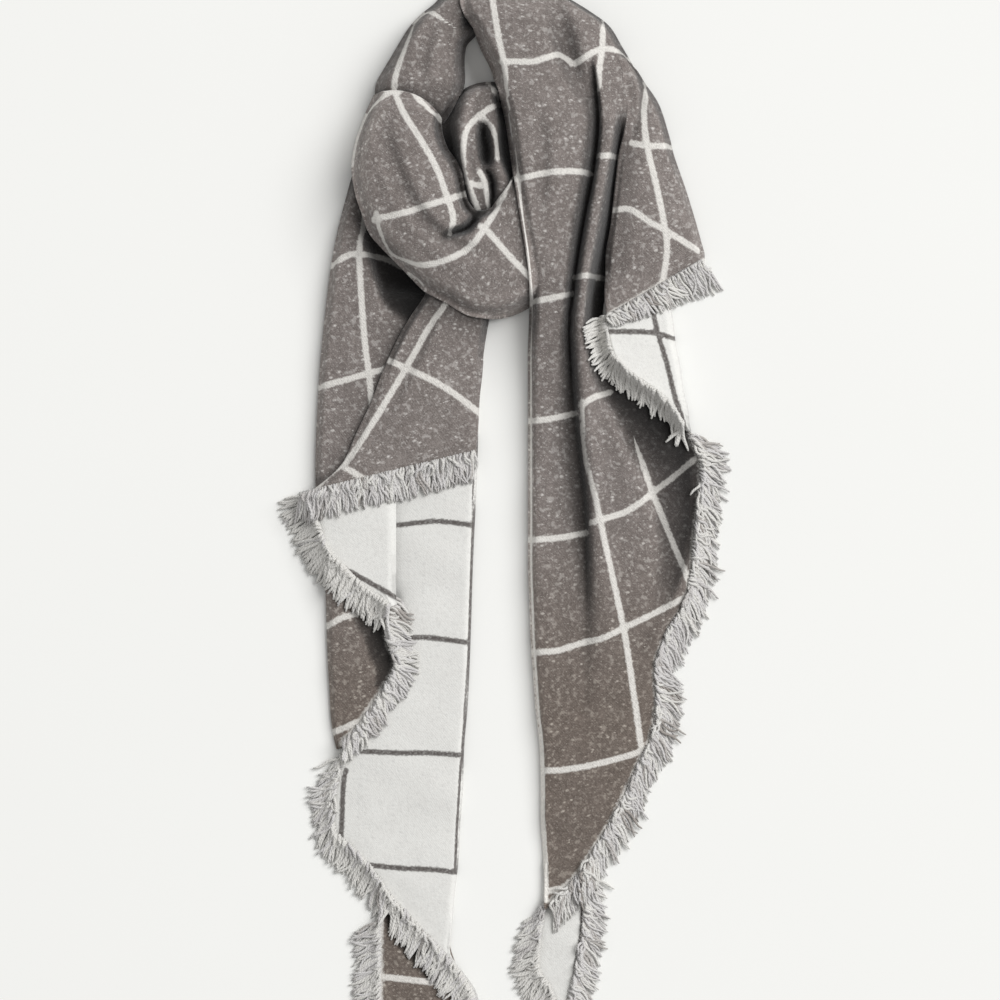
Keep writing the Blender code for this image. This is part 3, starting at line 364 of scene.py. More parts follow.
RIGHT_TAIL_FRONT_LINES = [
    [(-11, 443, 1), (-10, 430, 1), (-8.2, 417, 1), (-5.1, 398, 1), (-1.6, 381, 1), (0.8, 360, 1),
     (3.6, 337, 1), (7.0, 314, 0.95), (10.2, 291, 0.7), (12.8, 265, 0.4), (15.2, 248, 0.3),
     (18.8, 222, 0.3), (20.8, 200, 0.4), (21.6, 184, 0.6), (20.8, 152, 0.8), (20.8, 120, 0.8),
     (20.8, 88, 0.8), (20.8, 60, 0.8), (20.8, 32, 0.8), (20.8, 4, 0.8), (20.8, -24, 0.8),
     (21.8, -52, 0.8), (22.8, -80, 0.8), (24.8, -108, 0.8), (26.8, -136, 0.8), (29.8, -164, 0.8),
     (30.8, -192, 0.8), (30.8, -220, 0.8), (31.8, -244, 0.8), (32.8, -264, 0.8),
     (32.8, -288, 0.8)],
    [(-3, 379), (8, 379), (22, 379), (32, 382), (42, 385), (49, 382), (54, 378), (60, 381),
     (68, 386), (77, 390), (86, 390), (94, 387), (104, 380)],
    [(9, 286), (18, 287.5), (28, 290), (44, 292), (58, 292), (69, 291)],
    [(73, 305), (82, 305), (90, 305)],
    [(17, 189), (25, 190), (36, 192), (54, 196)],
    [(55, 209), (68, 210), (80, 209)],
    [(20, 95), (27, 95.5), (38, 97), (56, 101)],
    [(60, 107), (66, 111), (73, 114.5), (84, 118)],
    [(20, 0), (27, 0.5), (44, 2), (66, 6)],
    [(68, 14), (82, 18), (95, 22), (108, 30), (118, 38), (134, 50), (152, 65)],
    [(22, -90), (30, -89), (42, -88), (62, -82), (78, -78), (93, -71), (116, -60), (149, -43)],
    [(27, -185), (34, -184), (48, -183), (67, -180), (92, -174), (113, -167), (126, -158)],
    [(30, -281), (36, -280), (41, -279), (56, -276)],
    [(60, 110), (61.6, 90), (63.8, 68), (67.4, 50), (71.6, 35), (75.2, 19), (79, 1), (83.4, -19),
     (89.2, -45), (96, -78), (102.5, -121), (109, -167), (110, -172)],
    [(102, 84, 0.2), (105.8, 72, 0.7), (111, 58, 1), (116, 42.5, 1), (122.4, 26.4, 1),
     (128.4, 11.6, 1), (134.4, -3, 1), (140.8, -17.6, 1), (145.6, -30.4, 1), (148, -41, 1)],
    [(76, 432), (78.5, 420), (78, 408), (77, 390), (75, 376), (74, 358)],
]
RIGHT_TAIL_FLAP_LINES = [
    [(101, 385), (107, 381), (111, 371), (112, 356), (110.5, 338), (113, 314), (121, 280),
     (127, 250), (129, 230), (125, 200)],
    [(101, 316), (112, 314), (130, 314), (139, 313)],
    [(81, 262), (90, 263), (100, 263), (114, 254), (129, 246), (154, 231)],
    [(77, 390), (86, 390), (94, 387), (104, 381), (107, 377)],
]
RIGHT_TAIL_TURN_LINES = [
    [(76, 166), (86, 166), (108, 166), (120, 165), (135, 161)],
    [(116, 195), (121, 168), (129, 141), (135, 116), (143, 91)],
]
RIGHT_TAIL_TIP_LINES = [
    [(62, -292), (62, -304), (61, -319), (58, -334), (56, -349), (52, -370)],
]
LEFT_TAIL_OUTER_LINES = [
    [(-110, 268), (-113, 250), (-116, 229), (-115, 202), (-112, 160), (-108, 128), (-106, 104)],
    [(-148, 212), (-140, 218), (-127, 226), (-116, 228), (-97, 225), (-82, 218)],
    [(-154, 119), (-148, 122), (-130, 127), (-112, 132), (-94, 137)],
    [(-150, -74), (-142, -69), (-130, -62), (-113, -58), (-100, -58)],
    [(-146, -157), (-138, -154), (-117, -145)],
]
LEFT_TAIL_FRONT_LINES = [
    [(-42, 198), (-48, 187), (-60, 170), (-72, 149), (-86, 125), (-100, 102), (-114, 80),
     (-126, 63), (-140, 53), (-158, 34)],
    [(-100, 150), (-92, 143), (-72, 134), (-52, 124), (-34, 112), (-20, 101)],
    [(-140, 65), (-131, 60), (-116, 51), (-98, 41)],
]
LEFT_TAIL_PLEAT_LINES = [
    [(-132, -20), (-122, -26), (-104, -36), (-86, -46)],
]
LEFT_TAIL_LONG_LINES = [
    [(-21, 88, 0.55), (-24, 66, 0.55), (-26, 16, 0.55), (-28, -48, 0.55), (-31, -117, 0.55),
     (-35, -176, 0.6), (-38, -224, 0.6), (-40, -266, 0.6)],
    [(-96, 13), (-86, 12), (-68, 14), (-52, 15), (-27, 12), (-18, 10)],
    [(-92, -78), (-82, -78), (-60, -78), (-29, -82), (-22, -83)],
    [(-114, -169), (-106, -169), (-84, -170), (-60, -170), (-34, -172), (-26, -173)],
    [(-122, -258), (-114, -259), (-84, -262), (-60, -263), (-42, -265), (-34, -266)],
    [(-127, -184), (-129, -194), (-130, -216), (-131, -237), (-132, -245)],
]
LEFT_TAIL_TIP_LINES = [
    [(-108, -349), (-100, -349), (-80, -351), (-55, -354), (-44, -356)],
]


# ------------------------------------------------------------------ curves and surfaces
def run_along(points: Array) -> Array:
    """Distance of each point of a line from its start, along it."""
    steps = np.linalg.norm(np.diff(points, axis=0), axis=1)
    return np.concatenate([[0.0], np.cumsum(steps)])


def unit(arrows: Array) -> Array:
    """Arrows with a length of 1."""
    return arrows / np.maximum(np.linalg.norm(arrows, axis=-1, keepdims=True), 1e-6)


def eased(share: Array) -> Array:
    """A share from 0 to 1 with a soft start and a soft end."""
    return share ** 2 * (3 - 2 * share)


def curve_through(table: Array | list, places: Array) -> Array:
    """Read a table as one smooth curve.

    Args:
        table: rows of numbers.
        places: places on the curve, counted in rows from 0.

    Returns:
        One row of numbers for each place.
    """
    rows = np.asarray(table, dtype=float)
    rows = np.vstack([2 * rows[0] - rows[1], rows, 2 * rows[-1] - rows[-2]])
    first = np.clip(np.floor(places).astype(int), 0, len(table) - 2)
    t = (np.asarray(places, dtype=float) - first)[:, None]
    before, here, there, beyond = (rows[first + k] for k in range(4))
    return 0.5 * (2 * here + (there - before) * t
                  + (2 * before - 5 * here + 4 * there - beyond) * t ** 2
                  + (3 * here - before - 3 * there + beyond) * t ** 3)


def even_rows(table: list[Section], step: float) -> Array:
    """Read a table of sections at equal distances along the middle of a panel.

    Args:
        table: the sections.
        step: wanted distance between two rows.

    Returns:
        One section for each row of the grid.
    """
    fine = np.linspace(0, len(table) - 1, SECTION_READINGS * len(table))
    rows = curve_through(table, fine)
    run = run_along((rows[:, 0:2] + rows[:, 2:4]) / 2)
    count = max(FEWEST_ROWS, int(round(run[-1] / step)) + 1)
    return curve_through(table, np.interp(np.linspace(0, run[-1], count), run, fine))


def dense_line(places: list, step: float = 1.0) -> Array:
    """Points at about equal distances on the curve through a few places."""
    fine = curve_through(places, np.linspace(0, len(places) - 1, LINE_READINGS * len(places)))
    run = run_along(fine[:, :2])
    at = np.linspace(0, run[-1], max(2, int(run[-1] / step) + 1))
    return np.stack([np.interp(at, run, column) for column in fine.T], axis=1)


def rounded(distance: Array, fall: float) -> Array:
    """Quarter of a round edge: 0 at the edge and 1 from the distance of the fall inwards."""
    return np.sqrt(1 - (1 - np.clip(distance / fall, 0, 1)) ** 2)


def neighbours(grid: Array) -> Array:
    """Sum of the four numbers round each one of a grid."""
    wide = np.pad(grid, 1, mode="edge")
    return wide[:-2, 1:-1] + wide[2:, 1:-1] + wide[1:-1, :-2] + wide[1:-1, 2:]


def smooth(grid: Array, passes: int) -> Array:
    """Even out a grid of numbers with its neighbours."""
    for _ in range(passes):
        grid = (4 * grid + neighbours(grid)) / 8
    return grid


def bridge(support: Array, passes: int) -> Array:
    """Height of a sheet that rests on a support and spans from one rise to the next."""
    high = support
    for _ in range(passes):
        high = np.maximum(support, neighbours(high) / 4)
    return high


def soft_maximum(first: Array, second: Array, ease: float) -> Array:
    """The higher of two surfaces, with a soft bend where they meet."""
    return (first + second + np.sqrt((first - second) ** 2 + ease ** 2)) / 2


def ripples(x: Array, y: Array, seed: int, waves: int = 9) -> Array:
    """Slow unevenness of handled cloth, between about -1 and 1.

    Args:
        x: places to the right.
        y: places up.
        seed: seed of this panel's own unevenness.
        waves: number of waves that lie over one another.

    Returns:
        The unevenness at each place.
    """
    rng = np.random.default_rng(seed)
    total = np.zeros_like(x)
    for _ in range(waves):
        angle, turn = rng.uniform(0, 2 * math.pi, 2)
        wave = 2 * math.pi / (RIPPLE * rng.uniform(*RIPPLE_SPREAD))
        total += np.sin(wave * (x * math.cos(angle) + y * math.sin(angle)) + turn)
    return 2 * total / waves


def nearest_on(line: Array, x: Array, y: Array, reach: float) -> tuple[Array, Array, Array]:
    """Find the nearest point of a line for every place within reach.

    Args:
        line: dense points of the line.
        x: places to the right, flat.
        y: places up, flat.
        reach: distance beyond which places are left out.

    Returns:
        Indices of the places found, index of the nearest point for each, and the distance.
    """
    low, high = line[:, :2].min(axis=0) - reach, line[:, :2].max(axis=0) + reach
    found = np.nonzero((x > low[0]) & (x < high[0]) & (y > low[1]) & (y < high[1]))[0]
    if len(found) == 0:
        return found, found, np.zeros(0)
    apart = (x[found, None] - line[:, 0]) ** 2 + (y[found, None] - line[:, 1]) ** 2
    nearest = apart.argmin(axis=1)
    return found, nearest, np.sqrt(apart[np.arange(len(found)), nearest])


def height_along(path: Array, x: Array, y: Array, z: Array) -> Array:
    """Height of the cloth at each point of a line that is drawn on it."""
    if len(x) == 0:
        return np.zeros(len(path))
    apart = (x[:, None] - path[:, 0]) ** 2 + (y[:, None] - path[:, 1]) ** 2
    near = 1 / (apart + SPREADING) ** FADING
    return (z[:, None] * near).sum(axis=0) / near.sum(axis=0)


def grid_rim(rows: int, columns: int) -> Array:
    """The points round a grid, in order."""
    number = np.arange(rows * columns).reshape(rows, columns)
    return np.concatenate([number[0], number[1:, -1], number[-1, -2::-1], number[-2:0:-1, 0]])


# ------------------------------------------------------------------ the pile
@dataclass
class Pile:
    """Height of all that has been laid down so far, on a square grid."""

    low: tuple[float, float] = (-230.0, -500.0)
    size: tuple[float, float] = (460.0, 1000.0)
    bare: float = -1000.0
    ways_to_look: int = 16
    looks: tuple[float, ...] = (2.5, 5.0, 8.0, 12.0, 17.0, 23.0, 30.0)
    high: Array = field(init=False)
    drape: Array = field(init=False)

    def __post_init__(self) -> None:
        """Start with a bare floor."""
        self.high = np.zeros([int(side / PILE_CELL) for side in self.size])
        self.drape = self.high.copy()

    def place(self, x: Array, y: Array) -> tuple[Array, Array]:
        """Cell of each point."""
        return tuple(np.clip(((at - low) / PILE_CELL).astype(int), 1, cells - 2)
                     for at, low, cells in zip((x, y), self.low, self.high.shape))

    def add(self, x: Array, y: Array, z: Array) -> None:
        """Record points of a surface that has been laid down."""
        np.maximum.at(self.high, self.place(x, y), z)

    @staticmethod
    def dense(grid: Array, parts: int = 4) -> tuple[Array, ...]:
        """Add points between those of a grid.

        Args:
            grid: rows by columns by three.
            parts: into how many parts each cell is divided.

        Returns:
            The x, y and z of all points.
        """
        found = []
        for i in range(parts):
            for j in range(parts):
                a, b = i / parts, j / parts
                found.append(((1 - a) * (1 - b) * grid[:-1, :-1] + a * (1 - b) * grid[1:, :-1]
                              + (1 - a) * b * grid[:-1, 1:] + a * b * grid[1:, 1:]).reshape(-1, 3))
        return tuple(np.vstack(found).T)

    def cover(self, grid: Array) -> None:
        """Record the fall that a sheet's folds would have with nothing to hold them up, which sets
        the painted shade.
        """
        x, y, z = self.dense(grid)
        laid = np.full_like(self.drape, self.bare)
        np.maximum.at(laid, self.place(x, y), z)
        self.drape = np.where(laid > self.bare, laid, self.drape)

    def shelter(self) -> Array:
        """How far each cell lies in the shelter of the folds round it, which is painted into the
        cloth as shade.

        Returns:
            Share of the sky that stands behind folds, beyond each cell's own slope.
        """
        high, slope = self.drape, []
        for axis in (0, 1):
            before = (high - np.roll(high, 1, axis)) / PILE_CELL
            after = (np.roll(high, -1, axis) - high) / PILE_CELL
            least = np.minimum(np.abs(before), np.abs(after))
            slope.append(np.where(before * after > 0, np.sign(after) * least, 0.0))
        hidden = np.zeros_like(high)
        for turn in np.linspace(0, 2 * math.pi, self.ways_to_look, endpoint=False):
            ahead = np.array([math.cos(turn), math.sin(turn)])
            own = slope[0] * ahead[0] + slope[1] * ahead[1]
            steepest = np.zeros_like(high)
            for far in self.looks:
                shift = np.rint(-far * ahead / PILE_CELL).astype(int)
                rise = (np.roll(high, tuple(shift), axis=(0, 1)) - high) / far
                steepest = np.maximum(steepest, rise - own)
            hidden += steepest ** 2 / (1 + steepest ** 2)
        return smooth(hidden / self.ways_to_look, 2)

    def add_solid(self, solid: Object) -> None:
        """Record the top of a solid of the frame."""
        mesh = solid.data
        mesh.calc_loop_triangles()
        points = np.empty(3 * len(mesh.vertices), dtype=np.float32)
        mesh.vertices.foreach_get("co", points)
        points = points.reshape(-1, 3) / MILLIMETRE + CENTRE
        corners = np.empty(3 * len(mesh.loop_triangles), dtype=np.int32)
        mesh.loop_triangles.foreach_get("vertices", corners)
        a, b, c = (points[corners.reshape(-1, 3)[:, k]] for k in range(3))
        longest = np.linalg.norm(np.stack([a - b, b - c, c - a]), axis=-1).max()
        parts = int(math.ceil(longest / PILE_CELL)) + 1
        for i in range(parts + 1):
            for j in range(parts + 1 - i):
                self.add(*((a * i + b * j + c * (parts - i - j)) / parts).T)
        self.drape = self.high.copy()

    def clear(self, x: Array, y: Array) -> Array:
        """Lowest height at which a sheet is clear of the pile."""
        i, j = self.place(x, y)
        top = np.maximum.reduce([self.high[i + di, j + dj]
                                 for di, dj in ((0, 0), (1, 0), (-1, 0), (0, 1), (0, -1))])
        return np.where(top > 0, top + GAP, 0.0)


# ------------------------------------------------------------------ meshes
def add_mesh(name: str, points: Array, faces: list, finishes: list[Material],
             face_finish: Array | None = None) -> Object:
    """Make one smooth object at the origin, its place in its mesh.

    Args:
        name: name of the piece.
        points: points in the tables' millimetres.
        faces: corners of each face.
        finishes: the piece's materials.
        face_finish: number of the material of each face.

    Returns:
        The new object.
    """
    mesh = bpy.data.meshes.new(name)
    mesh.from_pydata(((points - CENTRE) * MILLIMETRE).tolist(), [], faces)
    for finish in finishes:
        mesh.materials.append(finish)
    if face_finish is not None:
        mesh.polygons.foreach_set("material_index", face_finish.astype(np.int32))
    mesh.polygons.foreach_set("use_smooth", np.ones(len(mesh.polygons), dtype=bool))
    mesh.update()
    piece = bpy.data.objects.new(name, mesh)
    bpy.context.scene.collection.objects.link(piece)
    return piece


def add_number(piece: Object, name: str, values: Array) -> None:
    """Give each point of a piece a number that its finish reads."""
    layer = piece.data.attributes.new(name, "FLOAT", "POINT")
    layer.data.foreach_set("value", values.astype(np.float32))


def add_map(piece: Object, name: str, places: Array) -> None:
    """Give each point of a piece a place on the flat cloth, in metres."""
    mesh = piece.data
    corners = np.empty(len(mesh.loops), dtype=np.int32)
    mesh.loops.foreach_get("vertex_index", corners)
    layer = mesh.uv_layers.new(name=name)
    layer.data.foreach_set("uv", (places[corners] * MILLIMETRE).astype(np.float32).ravel())


# ------------------------------------------------------------------ cloth panels
@dataclass(frozen=True)
class Feather:
    """A side that grows out of the cloth under it: as far as the share of the panel where it
    starts to ease, and the width in which the panel reaches its own thickness."""

    start: float
    end: float
    width: float
    sink: float = 1.3
    side: str = "left"
    first: bool = True

    def share(self, rows: Array, share: Array) -> Array:
        """How far each point has come to the panel's own thickness, from 0 to 1."""
        width = np.linalg.norm(rows[:, 2:4] - rows[:, 0:2], axis=1)[:, None]
        run = run_along((rows[:, 0:2] + rows[:, 2:4]) / 2)[:, None]
        ease = np.clip((run / run[-1] - self.start) / (self.end - self.start), 0, 1)
        inside = share if self.side == "left" else 1 - share
        both = np.maximum(ease, np.clip(inside * width / self.width, 0, 1))
        if self.first:
            both = np.minimum(both, np.clip(run / self.width, 0, 1))
        return eased(both)


@dataclass
class Panel:
    """One stretch of the cloth that shows, and what it stands for.

    A panel with a lift stands higher than its table, fully so beyond the second y of lift_from.
    Painted light brightens its finish a little all over and more at its left side, fading inwards
    over edge_reach.
    """

    node: str
    face: Face
    falls: Falls
    sections: list[Section]
    ways: list[Way] = field(default_factory=list)
    lines: list[Line] = field(default_factory=list)
    hems: list[Hem] = field(default_factory=list)
    rests_on: list[str] = field(default_factory=list)
    held: str = "laid"
    feather: Feather | None = None
    uneven: float = 0.5
    bridge: int = 12
    rim: int = RIM
    painted_light: float = 0.0
    painted_light_at_edge: float = 0.0
    edge_reach: float = 12.0
    lift: float = 0.0
    lift_from: tuple[float, float] = (-500.0, -400.0)
    grid: Array = field(init=False, default=None)
    under: Array = field(init=False, default=None)
    upper: Array = field(init=False, default=None)
    piece: Object = field(init=False, default=None)
    fringes: list[Object] = field(init=False, default_factory=list)

    def plan(self) -> tuple[Array, Array, Array]:
        """Lay out the grid.

        Returns:
            The rows read from the table, the share of the width of each point, and the plan.
        """
        rows = even_rows(self.sections, GRID)
        widest = np.linalg.norm(rows[:, 2:4] - rows[:, 0:2], axis=1).max()
        share = np.linspace(0, 1, max(FEWEST_COLUMNS, int(widest / GRID) + 2))
        share = share + CLOSER * ((1 - np.cos(math.pi * share)) / 2 - share)
        share = self.follow(np.tile(share, (len(rows), 1)), rows)
        left, right = rows[:, None, 0:2], rows[:, None, 2:4]
        across = right - left
        width = np.linalg.norm(across, axis=-1, keepdims=True)
        normal = np.stack([-across[..., 1], across[..., 0]], axis=-1) / width
        arch = (4 * share * (1 - share) * rows[:, 7:8])[..., None]
        return rows, share, left + across * share[..., None] + normal * arch

    def follow(self, share: Array, rows: Array) -> Array:
        """Shift the columns of the grid so that some of them run along the guiding creases."""
        guides = [crease for crease in self.ways if crease.guides]
        if not guides:
            return share
        start, across = rows[:, None, 0:2], (rows[:, 2:4] - rows[:, 0:2])[:, None]
        number, found = np.arange(len(rows)), []
        for guide in guides:
            fine = dense_line(guide.places)[:, :2]
            along = ((fine - start) * across).sum(axis=-1) / (across ** 2).sum(axis=-1)
            apart = np.linalg.norm(start + along[..., None] * across - fine, axis=-1)
            nearest = np.argmin(apart, axis=1)
            met = apart[number, nearest] < CREASE_MEETS
            found.append(np.interp(number, number[met], along[number, nearest][met]))
        found.sort(key=lambda place: place.mean())
        even = share[0]
        columns = [int(np.argmin(np.abs(even - place.mean()))) for place in found]
        knots = [0.0] + [even[column] for column in columns] + [1.0]
        return np.array([np.interp(even, knots, [0.0] + [place[i] for place in found] + [1.0])
                         for i in number])

    def crease_depth(self, plan: Array) -> Array:
        """How far the creases lower or raise the points of the plan."""
        flat = plan.reshape(-1, 2)
        total = np.zeros(len(flat))
        for crease in self.ways:
            line = dense_line(crease.places)
            found, nearest, apart = nearest_on(line, *flat.T, line[:, 3:5].max())
            ahead = np.gradient(line[:, 0:2], axis=0)[nearest]
            away = flat[found] - line[nearest, 0:2]
            side = ahead[:, 0] * away[:, 1] - ahead[:, 1] * away[:, 0]
            t = np.clip(apart / np.where(side > 0, line[nearest, 3], line[nearest, 4]), 0, 1)
            form = (1 - t) ** 2 if crease.fold is Fold.SHARP else (1 - t ** 2) ** 2
            total[found] += line[nearest, 2] * form
        return total.reshape(plan.shape[:2])

    def form(self, rows: Array, share: Array, plan: Array) -> Array:
        """Height of the upper side that the tables ask for."""
        width = np.linalg.norm(rows[:, None, 2:4] - rows[:, None, 0:2], axis=-1)
        high = rows[:, 4:5] * (1 - share) + rows[:, 5:6] * share
        high = high + rows[:, 6:7] * 4 * share * (1 - share) + self.crease_depth(plan)
        x, y = plan[..., 0], plan[..., 1]
        first, last = self.lift_from
        high = high + self.lift * eased(np.clip((y - first) / (last - first), 0, 1))
        seed = sum(ord(letter) for letter in self.node)
        high = high + self.uneven * ripples(x, y, seed)
        run = run_along(plan.mean(axis=1))[:, None]
        for distance, fall in zip((share * width, (1 - share) * width, run, run[-1] - run),
                                  self.falls):
            high = high * rounded(distance, fall)
        return high

    def lay(self, pile: Pile) -> None:
        """Settle the panel on the pile.

        Args:
            pile: all that was laid down before; the panel is added to it.
        """
        rows, share, plan = self.plan()
        grown = 1.0 if self.feather is None else self.feather.share(rows, share)
        thick = CLOTH * (THINNEST + (1 - THINNEST) * grown)
        form = self.form(rows, share, plan)
        support = pile.clear(plan[..., 0], plan[..., 1])
        under = soft_maximum(np.maximum(form - thick, 0), bridge(support, self.bridge), BEND)
        under = np.maximum(smooth(under, 1), support - PRESSED * GAP)
        if self.feather is not None:
            under = under - self.feather.sink * (1 - grown)
        step = [np.maximum(np.linalg.norm(np.gradient(plan, axis=k), axis=-1), LEAST_STEP)
                for k in (0, 1)]
        slope = np.hypot(*[np.gradient(under, axis=k) / step[k] for k in (0, 1)])
        upper = under + thick * np.minimum(np.sqrt(1 + slope ** 2), STEEPEST)
        self.grid = plan
        self.under = under
        self.upper = np.maximum(smooth(upper, 1), under + LEAST_WALL)
        # for the painted shade, creases deeper than UNHELD are recorded as if nothing held them up
        drape = np.where(self.crease_depth(plan) < UNHELD, np.minimum(self.upper, form),
                         self.upper)
        pile.cover(np.dstack([plan, drape]))
        pile.add(*pile.dense(np.dstack([plan, self.upper])))

    def near_lines(self) -> Array:
        """How near each point is to a windowpane line: 1 on it and 0 beyond its reach."""
        x, y, z = self.grid[..., 0].ravel(), self.grid[..., 1].ravel(), self.upper.ravel()
        near = np.zeros(x.size)
        paths = [(dense_line(line), 1.0) for line in self.lines]
        if self.face is Face.GREY:
            paths += [(self.edge(hem)[0][:, :2], HEM_BAND) for hem in self.hems]
        for path, narrow in paths:
            found, nearest, apart = nearest_on(path, x, y, PANE_REACH)
            level = height_along(path, x[found], y[found], z[found])
            apart = narrow * np.hypot(apart, DROP * (z[found] - level[nearest]))
            if path.shape[1] > 2:
                apart = apart / path[nearest, 2]
            near[found] = np.maximum(near[found], 1 - np.clip(apart / PANE_REACH, 0, 1))
        return near

    def shade(self, pile: Pile, shelter: Array) -> None:
        """Paint shade into the finish by how far each point lies in the folds, less the panel's
        painted light.

        Args:
            pile: all that was laid down.
            shelter: the shelter of each cell of the finished pile.
        """
        # painted shade: the shelter of the folds, with the edge rows copied from the rows inside
        # them
        painted_shade = shelter[pile.place(self.grid[..., 0], self.grid[..., 1])]
        painted_shade[:, :self.rim] = painted_shade[:, self.rim:self.rim + 1]
        painted_shade[:, -RIM:] = painted_shade[:, -RIM - 1:-RIM]
        painted_shade[:RIM] = painted_shade[RIM]
        painted_shade[-RIM:] = painted_shade[-RIM - 1]
        inside = np.cumsum(np.linalg.norm(np.diff(self.grid, axis=1), axis=-1), axis=1)
        inside = np.pad(inside, ((0, 0), (1, 0)))
        # painted light: the panel's own brightening all over and, fading inwards, at its left side
        edge_painted_light = self.painted_light_at_edge * np.clip(1 - inside / self.edge_reach, 0, 1) ** 2
        painted_shade = (painted_shade - self.painted_light - edge_painted_light).ravel()
        rim = grid_rim(*self.under.shape)
        add_number(self.piece, "fold", np.concatenate([painted_shade, painted_shade, painted_shade[rim]]))

    def flat_places(self) -> Array:
        """Place of each point on the flat cloth, in millimetres."""
        surface = np.dstack([self.grid, self.upper])
        across = np.linalg.norm(np.diff(surface, axis=1), axis=-1)
        half = surface.shape[1] // 2
        u = np.pad(np.cumsum(across, axis=1), ((0, 0), (1, 0)))
        v = run_along(surface[:, half])
        return np.dstack([u - u[:, half:half + 1], np.tile(v[:, None], (1, surface.shape[1]))])

    def build(self, cloth: dict[Face, Material]) -> None:
        """Make the closed wall of the panel, riding on the frame in place of its node.

        Args:
            cloth: the finish of each face.
        """
        rows, columns = self.under.shape
        lower = np.dstack([self.grid, self.under]).reshape(-1, 3)
        upper = np.dstack([self.grid, self.upper]).reshape(-1, 3)
        rim = grid_rim(rows, columns)
        after = np.roll(rim, -1)
        ahead = lower[after, :2] - lower[np.roll(rim, 1), :2]
        out = unit(np.stack([-ahead[:, 1], ahead[:, 0]], axis=1))
        middle = (lower[rim] + upper[rim]) / 2
        middle[:, :2] += RIM_OUT * (upper[rim, 2:] - lower[rim, 2:]) * out
        count = len(lower)
        corner = (np.arange(rows - 1)[:, None] * columns + np.arange(columns - 1)).ravel()
        quads = np.stack([corner, corner + 1, corner + columns + 1, corner + columns], axis=1)
        ring = 2 * count + np.arange(len(rim))
        ring_after = np.roll(ring, -1)
        faces = np.vstack([
            quads[:, ::-1] + count, quads,
            np.stack([ring, ring_after, after, rim], axis=1),
            np.stack([rim + count, after + count, ring_after, ring], axis=1),
        ])
        finish = np.zeros(len(faces), dtype=int)
        finish[len(quads):2 * len(quads)] = 1
        piece = add_mesh(f"cloth_{self.node}", np.vstack([lower, upper, middle]), faces.tolist(),
                         [cloth[self.face], cloth[self.face.other()]], finish)
        near, flat = self.near_lines(), self.flat_places().reshape(-1, 2)
        add_number(piece, "pane", np.concatenate([near, near, near[rim]]))
        add_map(piece, "weave", np.vstack([flat, flat, flat[rim]]))
        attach(piece, "root")
        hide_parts(self.node)
        self.piece = piece
        LOG.info("%s: %d points", piece.name, len(piece.data.vertices))

    def declare(self) -> None:
        """Does nothing; the flat size of this stretch is not stated."""

    def edge(self, hem: Hem) -> tuple[Array, Array]:
        """The points of a fringed edge, in order, and the way out of the cloth at each."""
        middle = np.dstack([self.grid, (self.under + self.upper) / 2])
        line = {"left": middle[:, 0], "right": middle[:, -1], "end": middle[-1, :]}[hem.side]
        last = len(line) - 1
        line = line[int(round(hem.start * last)):int(round(hem.end * last)) + 1]
        sign = -1.0 if hem.side == "right" else 1.0
        ahead = np.gradient(line[:, :2], axis=0)
        return line, unit(sign * np.stack([ahead[:, 1], -ahead[:, 0]], axis=1))


